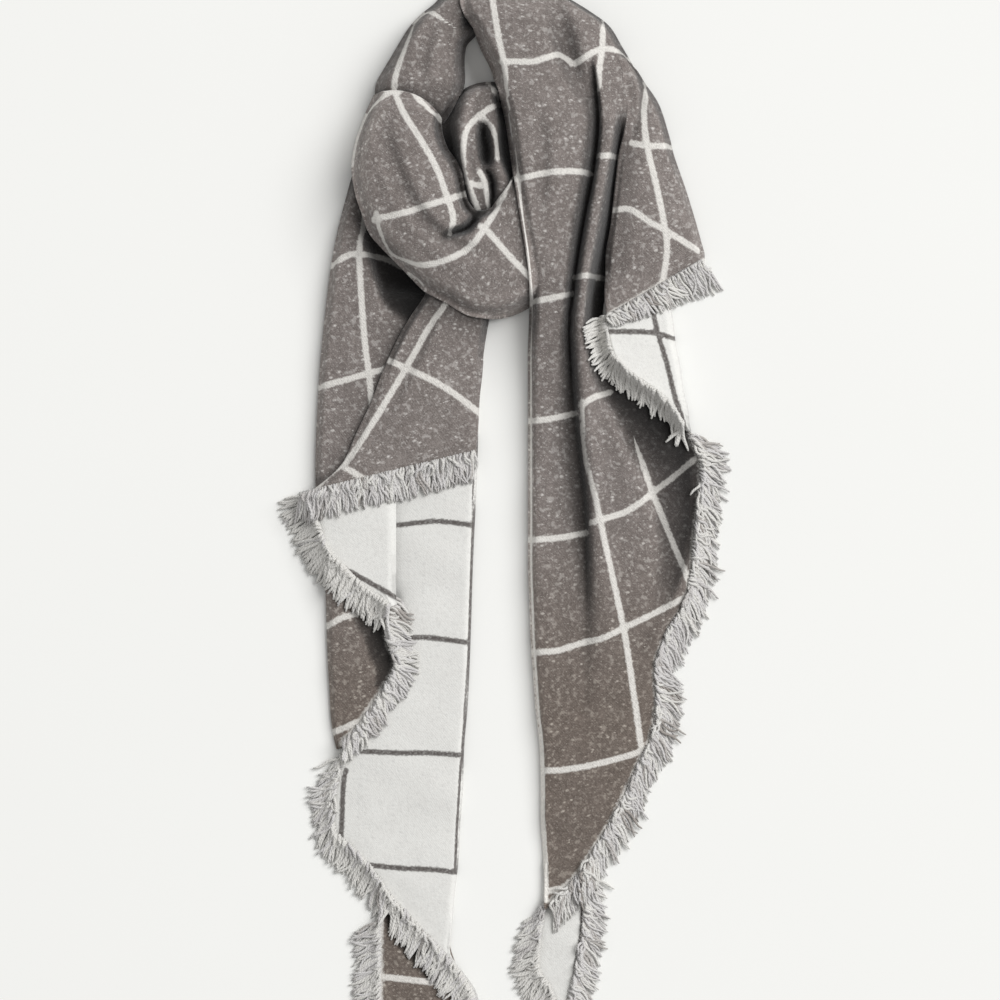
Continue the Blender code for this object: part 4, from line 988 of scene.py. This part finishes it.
# ------------------------------------------------------------------ fringe
@dataclass
class Fringe:
    """The yarn ends of one hem: layers of loose strands in small bundles.

    Lengths are in millimetres. Of each spread the first number, in degrees, sets bundles apart
    and the second one strands. A strand points straight out at straight_at of its length, has
    risen to its level after rises_in of it, and waves once in about its whole length.
    """

    hem: Hem
    layers: tuple[YarnLayer, ...] = (
        YarnLayer(1.5, 1.0, 1.15, 0.9, 0.05, 0.4),
        YarnLayer(1.9, 0.96, 1.1, 1.9, 0.05, 1.0),
        YarnLayer(2.5, 0.5, 1.15, 2.7, 0.15, 1.8),
    )
    length: float = 26.5
    radius: float = 1.05
    uneven_place: float = 0.3
    uneven_tone: float = 0.08
    uneven_length: tuple[float, float] = (0.88, 1.06)
    uneven_wave: tuple[float, float] = (0.7, 1.3)
    taper: tuple[tuple[float, float], ...] = ((0, 0.45), (0.2, 1.0), (0.8, 0.9), (1, 0.5))
    tip: float = 0.4
    rings: int = 9
    sides: int = 5
    droop: float = 9.0
    droop_bend: float = 1.4
    straight_at: float = 0.3
    rises_from: float = 0.1
    rises_in: float = 0.3
    settled: int = 3
    fewest: int = 3
    parted: float = 0.4
    gathered: float = 0.4
    evened: int = 9
    lean_spread: tuple[float, float] = (10.0, 5.0)
    curl_spread: tuple[float, float] = (26.0, 12.0)
    sway: float = 0.30
    highest_arch: float = 1.2
    seed: int = 5

    def facing(self, out: Array, run: Array, at: Array) -> Array:
        """Even way out of the cloth at each strand, as an angle."""
        angle = np.unwrap(np.arctan2(out[:, 1], out[:, 0]))
        wide = np.pad(angle, self.evened // 2, mode="edge")
        angle = np.convolve(wide, np.ones(self.evened) / self.evened, mode="valid")
        return np.interp(at, run, angle)

    @staticmethod
    def spread(rng: np.random.Generator, wide: tuple[float, float], bundle: Array) -> Array:
        """Random numbers for the strands, which a bundle has partly in common."""
        bundles = rng.normal(0, wide[0], bundle.max() + 1)
        return bundles[bundle] + rng.normal(0, wide[1], len(bundle))

    def strands(self, panel: Panel, pile: Pile, layer: YarnLayer, rng: np.random.Generator
                ) -> tuple[Array, Array]:
        """Lay out the middle lines of one layer of strands.

        Args:
            panel: the cloth that the fringe belongs to.
            pile: all that was laid down before.
            layer: the layer's spacing, size and level.
            rng: the fringe's own random numbers.

        Returns:
            Points of each strand, and its tone from 0, grey, to 1, cream.
        """
        hem = self.hem
        edge, out = panel.edge(hem)
        run = run_along(edge[:, :2])
        count = max(self.fewest, int(run[-1] / layer.pitch))
        shift = rng.uniform(-self.uneven_place, self.uneven_place, count)
        at = (np.arange(count) + 0.5 + shift) / count * run[-1]
        root = np.stack([np.interp(at, run, column) for column in edge.T], axis=1)
        share = at / run[-1]
        bundle = np.cumsum(rng.uniform(0, 1, count) < self.parted)
        last = bundle.max() + 1
        tone = rng.choice(YARN_TONES, size=last, p=TONE_SHARES)[bundle]
        tone = tone + hem.pale + layer.pale + rng.normal(0, self.uneven_tone, count)
        heart = (np.bincount(bundle, at, last)
                 / np.maximum(np.bincount(bundle, minlength=last), 1))[bundle]
        length = hem.long_start + (hem.long_end - hem.long_start) * share
        length = length * self.length * rng.uniform(*self.uneven_length, count) * layer.length
        lean = hem.lean_start + (hem.lean_end - hem.lean_start) * share
        lean = lean + layer.curl * self.spread(rng, self.lean_spread, bundle)
        lean = lean + layer.curl * np.degrees(np.arctan(self.gathered * (heart - at) / length))
        curl = np.radians(self.spread(rng, self.curl_spread, bundle))[:, None] * layer.curl
        t = np.linspace(0, 1, self.rings)
        wave = np.sin(2 * math.pi * (t * rng.uniform(*self.uneven_wave, (count, 1))
                                     + rng.uniform(0, 1, (count, 1))))
        follow = 1.0 if hem.side == "right" else -1.0
        heading = ((self.facing(out, run, at) - follow * np.radians(lean))[:, None]
                   + curl * (t - self.straight_at) + self.sway * layer.curl * wave)
        step = length[:, None] / (self.rings - 1)
        x, y = (root[:, k:k + 1] + np.cumsum(turned(heading) * step, axis=1)
                - (step + hem.inside) * turned(heading[:, :1])
                for k, turned in enumerate((np.cos, np.sin)))
        rise = layer.level * np.clip(self.rises_from + t / self.rises_in, 0, 1)
        floor = pile.clear(x, y) + self.radius * rise
        z = np.maximum(floor, root[:, 2:3] - self.droop * t ** self.droop_bend)
        z[:, 0] = floor[:, 0]
        for _ in range(self.settled):
            z[:, 1:-1] = np.maximum(floor[:, 1:-1], (z[:, :-2] + z[:, 2:]) / 2)
        arch = rng.uniform(0, self.highest_arch, (count, 1)) * np.sin(math.pi * t)
        return np.dstack([x, y, z + arch]), np.clip(tone, 0, 1)

    def tubes(self, lines: Array, thick: float) -> tuple[Array, list, Array]:
        """Round the middle lines into closed tubes.

        Args:
            lines: strands by rings by three.
            thick: thickness of the strands, as a share of the fringe's own.

        Returns:
            Points, faces, and place of each point round and along its strand.
        """
        count, rings = lines.shape[:2]
        ahead = unit(np.gradient(lines, axis=1))
        beside = unit(np.dstack([-ahead[..., 1], ahead[..., 0], np.zeros((count, rings))]))
        above = np.cross(ahead, beside)
        turn = np.linspace(0, 2 * math.pi, self.sides, endpoint=False)
        taper = np.interp(np.linspace(0, 1, rings), *zip(*self.taper))
        radius = self.radius * self.hem.thick * thick * taper[None, :, None, None]
        ring = (np.cos(turn)[:, None] * beside[:, :, None]
                + np.sin(turn)[:, None] * above[:, :, None])
        wall = (lines[:, :, None] + radius * ring).reshape(count, -1, 3)
        tips = lines[:, -1] + self.tip * self.radius * ahead[:, -1]
        ends = np.stack([lines[:, 0], tips], axis=1)
        points = np.concatenate([wall, ends], axis=1)
        size = points.shape[1]
        ring_before = np.arange((rings - 1) * self.sides).reshape(-1, self.sides)
        after = np.roll(ring_before, -1, axis=1)
        quads = np.stack([ring_before, after, after + self.sides, ring_before + self.sides],
                         axis=-1).reshape(-1, 4)
        first, end = np.arange(self.sides), np.arange(self.sides) + (rings - 1) * self.sides
        caps = np.concatenate([
            np.stack([np.full(self.sides, size - 2), np.roll(first, -1), first], axis=1),
            np.stack([np.full(self.sides, size - 1), end, np.roll(end, -1)], axis=1)])
        shift = (np.arange(count) * size)[:, None, None]
        faces = (quads + shift).reshape(-1, 4).tolist() + (caps + shift).reshape(-1, 3).tolist()
        run = np.repeat(np.linspace(0, self.length, rings), self.sides)
        around = np.tile(turn * self.radius, rings)
        flat = np.column_stack([np.append(around, [0, 0]), np.append(run, [0, self.length])])
        return points.reshape(-1, 3), faces, np.tile(flat, (count, 1))

    def build(self, panel: Panel, pile: Pile, yarn: Material) -> Object:
        """Make the fringe of one hem as one piece.

        Args:
            panel: the cloth that the fringe belongs to.
            pile: all that was laid down before; the fringe is added to it.
            yarn: finish of the strands.

        Returns:
            The piece, riding on the frame in place of its node.
        """
        rng = np.random.default_rng(self.seed + len(self.hem.node) * 7)
        points, faces, flat, tones, start = [], [], [], [], 0
        for layer in self.layers:
            lines, tone = self.strands(panel, pile, layer, rng)
            wall, tube_faces, places = self.tubes(lines, layer.thick)
            points.append(wall)
            faces += [[corner + start for corner in face] for face in tube_faces]
            flat.append(places)
            tones.append(np.repeat(tone, len(wall) // len(lines)))
            start += len(wall)
        points = np.vstack(points)
        piece = add_mesh(f"strands_{self.hem.node}", points, faces, [yarn])
        add_number(piece, "tone", np.concatenate(tones))
        add_map(piece, "yarn", np.vstack(flat))
        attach(piece, "root")
        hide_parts(self.hem.node)
        pile.add(*points.T)
        LOG.info("%s: %d points", piece.name, len(piece.data.vertices))
        return piece


# ------------------------------------------------------------------ finishes
class NodeSheet:
    """The shader nodes of one material, with short ways to place them."""

    def __init__(self, name: str) -> None:
        """Start a material with its principled shader."""
        self.material = bpy.data.materials.new(name)
        self.material.use_nodes = True
        self.tree = self.material.node_tree
        self.shader = self.tree.nodes["Principled BSDF"]

    def node(self, kind: str, **settings: object) -> bpy.types.Node:
        """Place one node with its settings."""
        placed = self.tree.nodes.new(kind)
        for name, value in settings.items():
            setattr(placed, name, value)
        return placed

    def fill(self, node: bpy.types.Node, terms: dict[str | int, object]) -> Socket:
        """Link sockets of a node or give them values, and return its first output."""
        for key, value in terms.items():
            socket = node.inputs[key]
            if isinstance(value, Socket):
                self.tree.links.new(value, socket)
            elif socket.type == "RGBA" and len(value) == 3:
                socket.default_value = (*value, 1.0)
            else:
                socket.default_value = value
        return node.outputs[0]

    def maths(self, operation: str, *terms: object) -> Socket:
        """Reckon with one or two numbers."""
        return self.fill(self.node("ShaderNodeMath", operation=operation), dict(enumerate(terms)))

    def times(self, *terms: object) -> Socket:
        """Multiply numbers."""
        return reduce(partial(self.maths, "MULTIPLY"), terms)

    def plus(self, *terms: object) -> Socket:
        """Add numbers."""
        return reduce(partial(self.maths, "ADD"), terms)

    def wave(self, *terms: Socket) -> Socket:
        """Sine of the sum of some angles."""
        return self.maths("SINE", self.plus(*terms))

    def place(self) -> Socket:
        """Place on the object, in metres."""
        return self.node("ShaderNodeTexCoord").outputs["Object"]

    def parts(self, place: Socket) -> bpy.types.NodeOutputs:
        """The separate numbers of a place."""
        split = self.node("ShaderNodeSeparateXYZ")
        self.fill(split, {0: place})
        return split.outputs

    def flat_place(self, name: str) -> tuple[Socket, Socket]:
        """Place on the flat cloth across and along it, in metres."""
        return self.parts(self.node("ShaderNodeUVMap", uv_map=name).outputs[0])[:2]

    def number(self, name: str) -> Socket:
        """A number that each point carries."""
        return self.node("ShaderNodeAttribute", attribute_name=name).outputs["Fac"]

    def noise(self, place: Socket, scale: float, detail: float = 2.0, rough: float = 0.5
              ) -> Socket:
        """Uneven grain, mostly between 0.3 and 0.7."""
        return self.fill(self.node("ShaderNodeTexNoise"), {
            "Vector": place, "Scale": scale, "Detail": detail, "Roughness": rough})

    def cells(self, place: Socket, scale: float) -> tuple[Socket, Socket]:
        """Distance to the nearest of scattered spots, and a random number for each spot."""
        spots = self.node("ShaderNodeTexVoronoi")
        far = self.fill(spots, {"Vector": place, "Scale": scale})
        chance = self.fill(self.node("ShaderNodeSeparateColor"), {0: spots.outputs["Color"]})
        return far, chance

    def ramp(self, value: object, low: object, high: object, first: float = 0.0,
             last: float = 1.0) -> Socket:
        """Rise smoothly from first to last while a value runs from low to high."""
        return self.fill(self.node("ShaderNodeMapRange", interpolation_type="SMOOTHSTEP"), {
            "Value": value, "From Min": low, "From Max": high, "To Min": first, "To Max": last})

    def blend(self, share: object, first: object, second: object, kind: str = "MIX") -> Socket:
        """Blend two colours."""
        placed = self.node("ShaderNodeMix", data_type="RGBA", blend_type=kind)
        self.fill(placed, {0: share, 6: first, 7: second})
        return placed.outputs[2]

    def darken(self, colour: object, value: Socket) -> Socket:
        """Multiply a colour by a number."""
        grey = self.fill(self.node("ShaderNodeCombineColor"), {0: value, 1: value, 2: value})
        return self.blend(1.0, colour, grey, "MULTIPLY")

    def relief(self, height: Socket, strength: float, depth: float) -> None:
        """Turn a height into relief."""
        bump = self.fill(self.node("ShaderNodeBump"), {
            "Strength": strength, "Distance": depth, "Height": height})
        self.fill(self.shader, {"Normal": bump})

    def surface(self, colour: Socket, rough: float, specular: float, sheen: float = 0.0,
                sheen_rough: float = 0.5) -> None:
        """Set how the surface takes the light."""
        self.fill(self.shader, {
            "Base Color": colour, "Roughness": rough, "Specular IOR Level": specular,
            "Sheen Weight": sheen, "Sheen Roughness": sheen_rough})


@dataclass(frozen=True)
class ClothFinish:
    """One face of the woollen cloth with its raised nap, its flecks and windowpane lines.

    Its colour grows darker and browner from the first y of its tint span to the second one, and
    the fold number paints shade into it as strongly as depth says, or light where that number is
    below zero. The scales say how fine its blotches, tufts, fibres, slubs, soft spots and specks
    are, for each metre.
    """

    name: str
    ground: Colour
    mottle: Colour
    fleck: Colour
    fleck_share: float
    line: Colour
    half_line: float
    shade: float
    relief: float
    line_edge: float = 0.8
    sheen: float = 0.2
    # depth: how strongly the fold number paints shade into the colour
    depth: float = 4.4
    downward_tint: Colour = (1.0, 1.0, 1.0)
    downward_tint_from: tuple[float, float] = (0.06, -0.16)
    blotches: float = 75.0
    tufts: float = 430.0
    fibres: float = 1500.0
    slubs: float = 170.0
    spots: float = 240.0
    specks: float = 520.0
    longer: float = 1.5
    ragged: float = 0.7
    fray: float = 3.6
    rib: float = 0.0021
    course: float = 0.0023
    deepest: float = 0.0010

    def flecks(self, sheet: NodeSheet, place: Socket, tuft: Socket) -> Socket:
        """Soft slubs of pale yarn of several sizes, longer across the cloth than along it."""
        across, along = sheet.flat_place("weave")
        flat = sheet.fill(sheet.node("ShaderNodeCombineXYZ"),
                          {0: across, 1: sheet.times(along, self.longer)})
        far, chance = sheet.cells(flat, self.slubs)
        radius = sheet.ramp(chance, 0.30, 1.0, 0.04, 0.42)
        rough = sheet.times(sheet.maths("SUBTRACT", tuft, 0.5), self.ragged)
        slubs = sheet.ramp(sheet.plus(far, rough), radius, sheet.times(radius, 0.1))
        spots = sheet.ramp(sheet.noise(place, self.spots, 1.0), 0.54, 0.72, 0.0, 0.45)
        specks = sheet.ramp(sheet.noise(flat, self.specks, 1.0), 0.60, 0.74, 0.0, 0.6)
        flecks = sheet.maths("MAXIMUM", slubs, sheet.maths("MAXIMUM", spots, specks))
        return sheet.times(flecks, self.fleck_share)

    def pane(self, sheet: NodeSheet, tuft: Socket) -> Socket:
        """Share of the windowpane line at each place, with frayed edges."""
        away = sheet.times(sheet.maths("SUBTRACT", 1.0, sheet.number("pane")), PANE_REACH)
        fray = sheet.times(sheet.maths("SUBTRACT", tuft, 0.5), self.fray)
        return sheet.ramp(sheet.plus(away, fray), self.half_line + self.line_edge,
                          self.half_line - self.line_edge)

    def material(self) -> Material:
        """Make the material."""
        sheet = NodeSheet(self.name)
        place = sheet.place()
        blotch = sheet.noise(place, self.blotches, 4.0, 0.62)
        tuft = sheet.noise(place, self.tufts, 3.0, 0.65)
        fibre = sheet.noise(place, self.fibres, 2.0, 0.6)
        mottle = sheet.plus(sheet.times(sheet.ramp(tuft, 0.38, 0.70), 0.65),
                            sheet.ramp(blotch, 0.35, 0.75, 0.0, 0.35))
        flecks = self.flecks(sheet, place, tuft)
        colour = sheet.blend(flecks, sheet.blend(mottle, self.ground, self.mottle), self.fleck)
        # darker and browner towards the tails, by the place's y on the object
        downward_tint = sheet.ramp(sheet.parts(place)[1], *self.downward_tint_from)
        colour = sheet.blend(1.0, colour, sheet.blend(downward_tint, (1.0, 1.0, 1.0), self.downward_tint),
                             "MULTIPLY")
        line = self.pane(sheet, tuft)
        rubbed = sheet.ramp(tuft, 0.25, 0.6, 0.72, 1.0)
        colour = sheet.blend(sheet.times(line, rubbed), colour, self.line)
        # painted shade from the fold number, painted light where it is below zero; lines keep half
        # of it
        spared = sheet.maths("SUBTRACT", 1.0, sheet.times(line, 0.5))
        painted_shade = sheet.maths("EXPONENT", sheet.times(sheet.number("fold"), self.depth, spared))
        shade = sheet.maths("DIVIDE", sheet.ramp(fibre, 0.3, 0.7, self.shade, 1.0), painted_shade)
        sheet.surface(sheet.darken(colour, shade), 0.95, 0.15, self.sheen, 0.6)
        across, along = sheet.flat_place("weave")
        weave = sheet.times(sheet.wave(sheet.times(across, 2 * math.pi / self.rib)),
                            sheet.wave(sheet.times(along, 2 * math.pi / self.course)), 0.08)
        height = sheet.plus(weave, tuft, sheet.times(fibre, 0.4), sheet.times(flecks, 0.25),
                            sheet.times(line, 0.2))
        sheet.relief(height, self.relief, self.deepest)
        return sheet.material


@dataclass(frozen=True)
class YarnFinish:
    """Loose twisted yarn in several tones."""

    name: str = "yarn"
    tones: tuple[Colour, ...] = (
        (0.36, 0.33, 0.305), (0.51, 0.485, 0.46), (0.62, 0.60, 0.59), (0.68, 0.665, 0.655),
        (0.74, 0.725, 0.69))
    twist: float = 0.0032
    ply: float = 0.0027
    fibres: float = 1300.0
    deepest: float = 0.0005

    def material(self) -> Material:
        """Make the material."""
        sheet = NodeSheet(self.name)
        tones = sheet.node("ShaderNodeValToRGB")
        stops = tones.color_ramp.elements
        while len(stops) < len(self.tones):
            stops.new(0.5)
        for stop, position, tone in zip(stops, YARN_TONES, self.tones):
            stop.position = position
            stop.color = (*tone, 1.0)
        tone = sheet.fill(tones, {0: sheet.number("tone")})
        around, along = sheet.flat_place("yarn")
        ply = sheet.ramp(sheet.wave(sheet.times(along, 2 * math.pi / self.twist),
                                    sheet.times(around, 2 * math.pi / self.ply)), -1.0, 0.6)
        fibre = sheet.noise(sheet.place(), self.fibres, 3.0, 0.6)
        shade = sheet.times(sheet.ramp(ply, 0.0, 1.0, 0.88, 1.0),
                            sheet.ramp(fibre, 0.3, 0.65, 0.88, 1.0))
        sheet.surface(sheet.darken(tone, shade), 0.9, 0.25, 0.3, 0.5)
        sheet.relief(sheet.plus(ply, sheet.times(fibre, 0.8)), 0.5, self.deepest)
        return sheet.material


@dataclass(frozen=True)
class FloorFinish:
    """Plain pale floor."""

    name: str = "floor"
    colour: Colour = (0.90, 0.90, 0.876)

    def material(self) -> Material:
        """Make the material."""
        sheet = NodeSheet(self.name)
        faint = sheet.ramp(sheet.noise(sheet.place(), 3.0), 0.2, 0.8, 0.992, 1.0)
        sheet.surface(sheet.darken(self.colour, faint), 1.0, 0.0)
        return sheet.material


GREY_FACE = ClothFinish(
    "wool_grey", ground=(0.178, 0.153, 0.141), mottle=(0.30, 0.265, 0.248),
    fleck=(0.68, 0.65, 0.62), fleck_share=0.85, line=(0.82, 0.795, 0.75), half_line=2.45,
    shade=0.82, relief=0.9, downward_tint=(0.75, 0.70, 0.64))
CREAM_FACE = ClothFinish(
    "wool_cream", ground=(0.785, 0.78, 0.75), mottle=(0.74, 0.73, 0.70),
    fleck=(0.50, 0.49, 0.48), fleck_share=0.3, line=(0.10, 0.088, 0.082), half_line=2.1,
    shade=0.93, relief=0.45, depth=2.5)


# ------------------------------------------------------------------ sub-assemblies
@dataclass
class Assembly:
    """Panels that belong together, laid down in order with their fringes."""

    name: str
    panels: list[Panel]

    def build(self, count: int, pile: Pile, cloth: dict[Face, Material], yarn: Material) -> None:
        """Lay down the next few panels, each with its fringes.

        Args:
            count: how many panels are laid now.
            pile: all that was laid down before.
            cloth: finish of each face of the cloth.
            yarn: finish of the fringes.
        """
        waiting = [panel for panel in self.panels if panel.piece is None]
        for panel in waiting[:count]:
            panel.lay(pile)
            panel.fringes = [Fringe(hem).build(panel, pile, yarn) for hem in panel.hems]
            panel.build(cloth)
            LOG.info("%s: laid %s", self.name, panel.node)

    def dress(self, pile: Pile, shelter: Array) -> None:
        """Shade each panel's folds, painting shade into their colour, and call each panel's
        declare step, which does nothing.

        Args:
            pile: all that was laid down.
            shelter: the shelter of each cell of the finished pile.
        """
        for panel in self.panels:
            panel.shade(pile, shelter)
            panel.declare()


@dataclass
class Heart:
    """A rounded solid of hidden layers, which stays as it is in the frame."""

    node: str
    face: Face

    def build(self, pile: Pile, cloth: dict[Face, Material]) -> None:
        """Give the solid its finish and let the cloth lie on it.

        Args:
            pile: all that was laid down before.
            cloth: finish of each face of the cloth.
        """
        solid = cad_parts[self.node]
        solid.data.materials.clear()
        solid.data.materials.append(cloth[self.face])
        pile.add_solid(solid)
        LOG.info("%s: kept as a solid", self.node)


# ------------------------------------------------------------------ floor, light and camera
@dataclass
class Studio:
    """Pale floor, soft light from the upper right, and a camera that looks straight down."""

    middle: tuple[float, float] = (-0.004, 0.032)
    floor_size: float = 6.0
    floor_high: float = -0.0004
    camera_height: float = 4.0
    lens: float = 180.0
    sensor: float = 36.0
    sky: float = 0.44
    key_power: float = 4220.0
    key_size: float = 14.0
    key_from: tuple[float, float, float] = (12.9, 8.4, 14.2)

    @staticmethod
    def add(name: str, data: bpy.types.ID, place: tuple[float, float, float]) -> Object:
        """Add a light or a camera."""
        placed = bpy.data.objects.new(name, data)
        placed.location = place
        bpy.context.scene.collection.objects.link(placed)
        return placed

    def build(self) -> None:
        """Place the floor, the light and the camera."""
        x, y = np.array(self.middle) - CENTRE[:2] * MILLIMETRE
        bpy.ops.object.select_all(action="DESELECT")
        bpy.ops.mesh.primitive_plane_add(size=self.floor_size, location=(0, 0, self.floor_high))
        floor = bpy.context.object
        floor.name = "floor"
        floor.data.materials.append(FloorFinish().material())
        scene = bpy.context.scene
        scene.world = bpy.data.worlds.new("studio")
        scene.world.use_nodes = True
        background = scene.world.node_tree.nodes["Background"]
        background.inputs["Color"].default_value = (1.0, 1.0, 1.0, 1.0)
        background.inputs["Strength"].default_value = self.sky
        light = bpy.data.lights.new("key", "AREA")
        light.shape = "SQUARE"
        light.size = self.key_size
        light.energy = self.key_power
        key = self.add("key", light, self.key_from)
        aim = Vector((x, y, 0.0)) - key.location
        key.rotation_euler = aim.to_track_quat("-Z", "Y").to_euler()
        lens = bpy.data.cameras.new("camera")
        lens.lens = self.lens
        lens.sensor_width = self.sensor
        scene.camera = self.add("camera", lens, (x, y, self.camera_height))
        scene.view_settings.view_transform = "Standard"


LEFT_TAIL = [
    Panel("left_tail_tip", Face.GREY, Falls(6, 6, 6, 6), LEFT_TAIL_TIP, LEFT_TIP_WAYS,
          LEFT_TAIL_TIP_LINES, [Hem("fringe_left_tip", "left", 0.20, 0.86, 38, 20, pale=0.2),
                                Hem("fringe_left_tip_end", "right", 0.60, 0.98, 50, 10)],
          rests_on=["floor"]),
    Panel("left_tail_long", Face.CREAM, Falls(8, 5, 10, 6), LEFT_TAIL_LONG, [],
          LEFT_TAIL_LONG_LINES,
          [Hem("fringe_left_long", "left", 0.64, 1.0, 60, 12, pale=0.2, inside=4.5, thick=1.1)],
          rests_on=["left_tail_heart", "cloth_left_tail_tip"], held="folded"),
    Panel("left_tail_outer", Face.GREY, Falls(7, 8, 8, 8), LEFT_TAIL_OUTER, LEFT_OUTER_WAYS,
          LEFT_TAIL_OUTER_LINES,
          [Hem("fringe_left_outer", "right", 0.73, 1.0, 38, 50, long_end=0.8, pale=0.12,
               thick=1.15)],
          rests_on=["cloth_left_tail_long"], held="folded", painted_light_at_edge=0.08),
    Panel("left_tail_pleat", Face.CREAM, Falls(8, 5, 6, 6), LEFT_TAIL_PLEAT, [],
          LEFT_TAIL_PLEAT_LINES,
          [Hem("fringe_left_pleat", "left", 0.53, 1.0, 12, 22, pale=0.6, inside=2.5, thick=1.2)],
          rests_on=["cloth_left_tail_long", "cloth_left_tail_outer"], held="folded",
          feather=Feather(1.0, 1.1, 7.0, 0.9, "right", False)),
    Panel("left_tail_front", Face.GREY, Falls(7, 7, 8, 9), LEFT_TAIL_FRONT, LEFT_TAIL_WAYS,
          LEFT_TAIL_FRONT_LINES,
          [Hem("fringe_left_front", "end", 0.0, 1.0, -22, -18, pale=-0.12, inside=6.0)],
          rests_on=["cloth_left_tail_pleat", "cloth_left_tail_outer"], held="folded",
          painted_light=0.008),
]

KNOT = [
    Panel("knot_core", Face.GREY, Falls(7, 8, 7, 8), KNOT_CORE, KNOT_CORE_WAYS, KNOT_CORE_LINES,
          rests_on=["knot_heart"], held="gathered", painted_light=0.03, lift=8.0),
    Panel("neck_loop", Face.GREY, Falls(12, 9, 14, 10), NECK_LOOP, NECK_LOOP_WAYS,
          NECK_LOOP_LINES, rests_on=["knot_heart", "cloth_knot_core"], held="folded", lift=4.5),
    Panel("knot_wrap", Face.GREY, Falls(16, 9, 8, 10), KNOT_WRAP, KNOT_WRAP_WAYS,
          KNOT_WRAP_LINES, rests_on=["cloth_knot_core", "cloth_neck_loop"], held="gathered",
          painted_light=0.005, painted_light_at_edge=0.33, edge_reach=22.0, lift=6.5),
]

RIGHT_TAIL = [
    Panel("right_tail_tip", Face.CREAM, Falls(6, 6, 6, 6), RIGHT_TAIL_TIP, [],
          RIGHT_TAIL_TIP_LINES,
          [Hem("fringe_right_tip_inner", "left", 0.34, 0.98, 50, 15, pale=0.15),
           Hem("fringe_right_tip_outer", "right", 0.16, 0.98, 52, 42)], rests_on=["floor"]),
    Panel("right_tail_front", Face.GREY, Falls(9, 10, 14, 8), RIGHT_TAIL_FRONT, RIGHT_TAIL_WAYS,
          RIGHT_TAIL_FRONT_LINES,
          [Hem("fringe_right_front", "right", 0.495, 1.0, 50, 52, 1.12, 1.1)],
          rests_on=["right_tail_heart", "cloth_knot_wrap", "cloth_right_tail_tip"],
          held="folded", painted_light_at_edge=0.17, lift=6.0, lift_from=(100.0, 300.0)),
    Panel("right_tail_turn", Face.CREAM, Falls(3, 5, 8, 4), RIGHT_TAIL_TURN, [],
          RIGHT_TAIL_TURN_LINES,
          [Hem("fringe_right_turn", "left", 0.26, 1.0, 18, 58, 0.8, 0.85, 0.9, 2.5, 1.2)],
          rests_on=["cloth_right_tail_front"], held="folded"),
    Panel("right_tail_flap", Face.GREY, Falls(5, 8, 6, 9), RIGHT_TAIL_FLAP, [],
          RIGHT_TAIL_FLAP_LINES,
          [Hem("fringe_right_flap", "end", 0.0, 1.0, 6, 0, 0.45, 1.15)],
          rests_on=["cloth_right_tail_front", "cloth_right_tail_turn"], held="folded",
          feather=Feather(0.20, 0.40, 13.0), rim=9, painted_light=0.014, painted_light_at_edge=0.03, lift=1.0),
]


def main() -> None:
    """Lay the scarf down in the order of its layers, then set the studio up."""
    logging.basicConfig(level=logging.INFO, format="%(message)s")
    cloth = {Face.GREY: GREY_FACE.material(), Face.CREAM: CREAM_FACE.material()}
    yarn = YarnFinish().material()
    pile = Pile()
    for node, face in (("knot_heart", Face.GREY), ("left_tail_heart", Face.CREAM),
                       ("right_tail_heart", Face.GREY)):
        Heart(node, face).build(pile, cloth)
    left_tail = Assembly("left tail", LEFT_TAIL)
    knot = Assembly("knot", KNOT)
    right_tail = Assembly("right tail", RIGHT_TAIL)
    for assembly, count in ((left_tail, len(LEFT_TAIL)), (right_tail, 1), (knot, len(KNOT)),
                            (right_tail, len(RIGHT_TAIL) - 1)):
        assembly.build(count, pile, cloth, yarn)
    # painted shade: the shelter of the folds is painted into the cloth's colour
    shelter = pile.shelter()
    for assembly in (left_tail, knot, right_tail):
        assembly.dress(pile, shelter)
    Studio().build()


if __name__ == "__main__":
    main()
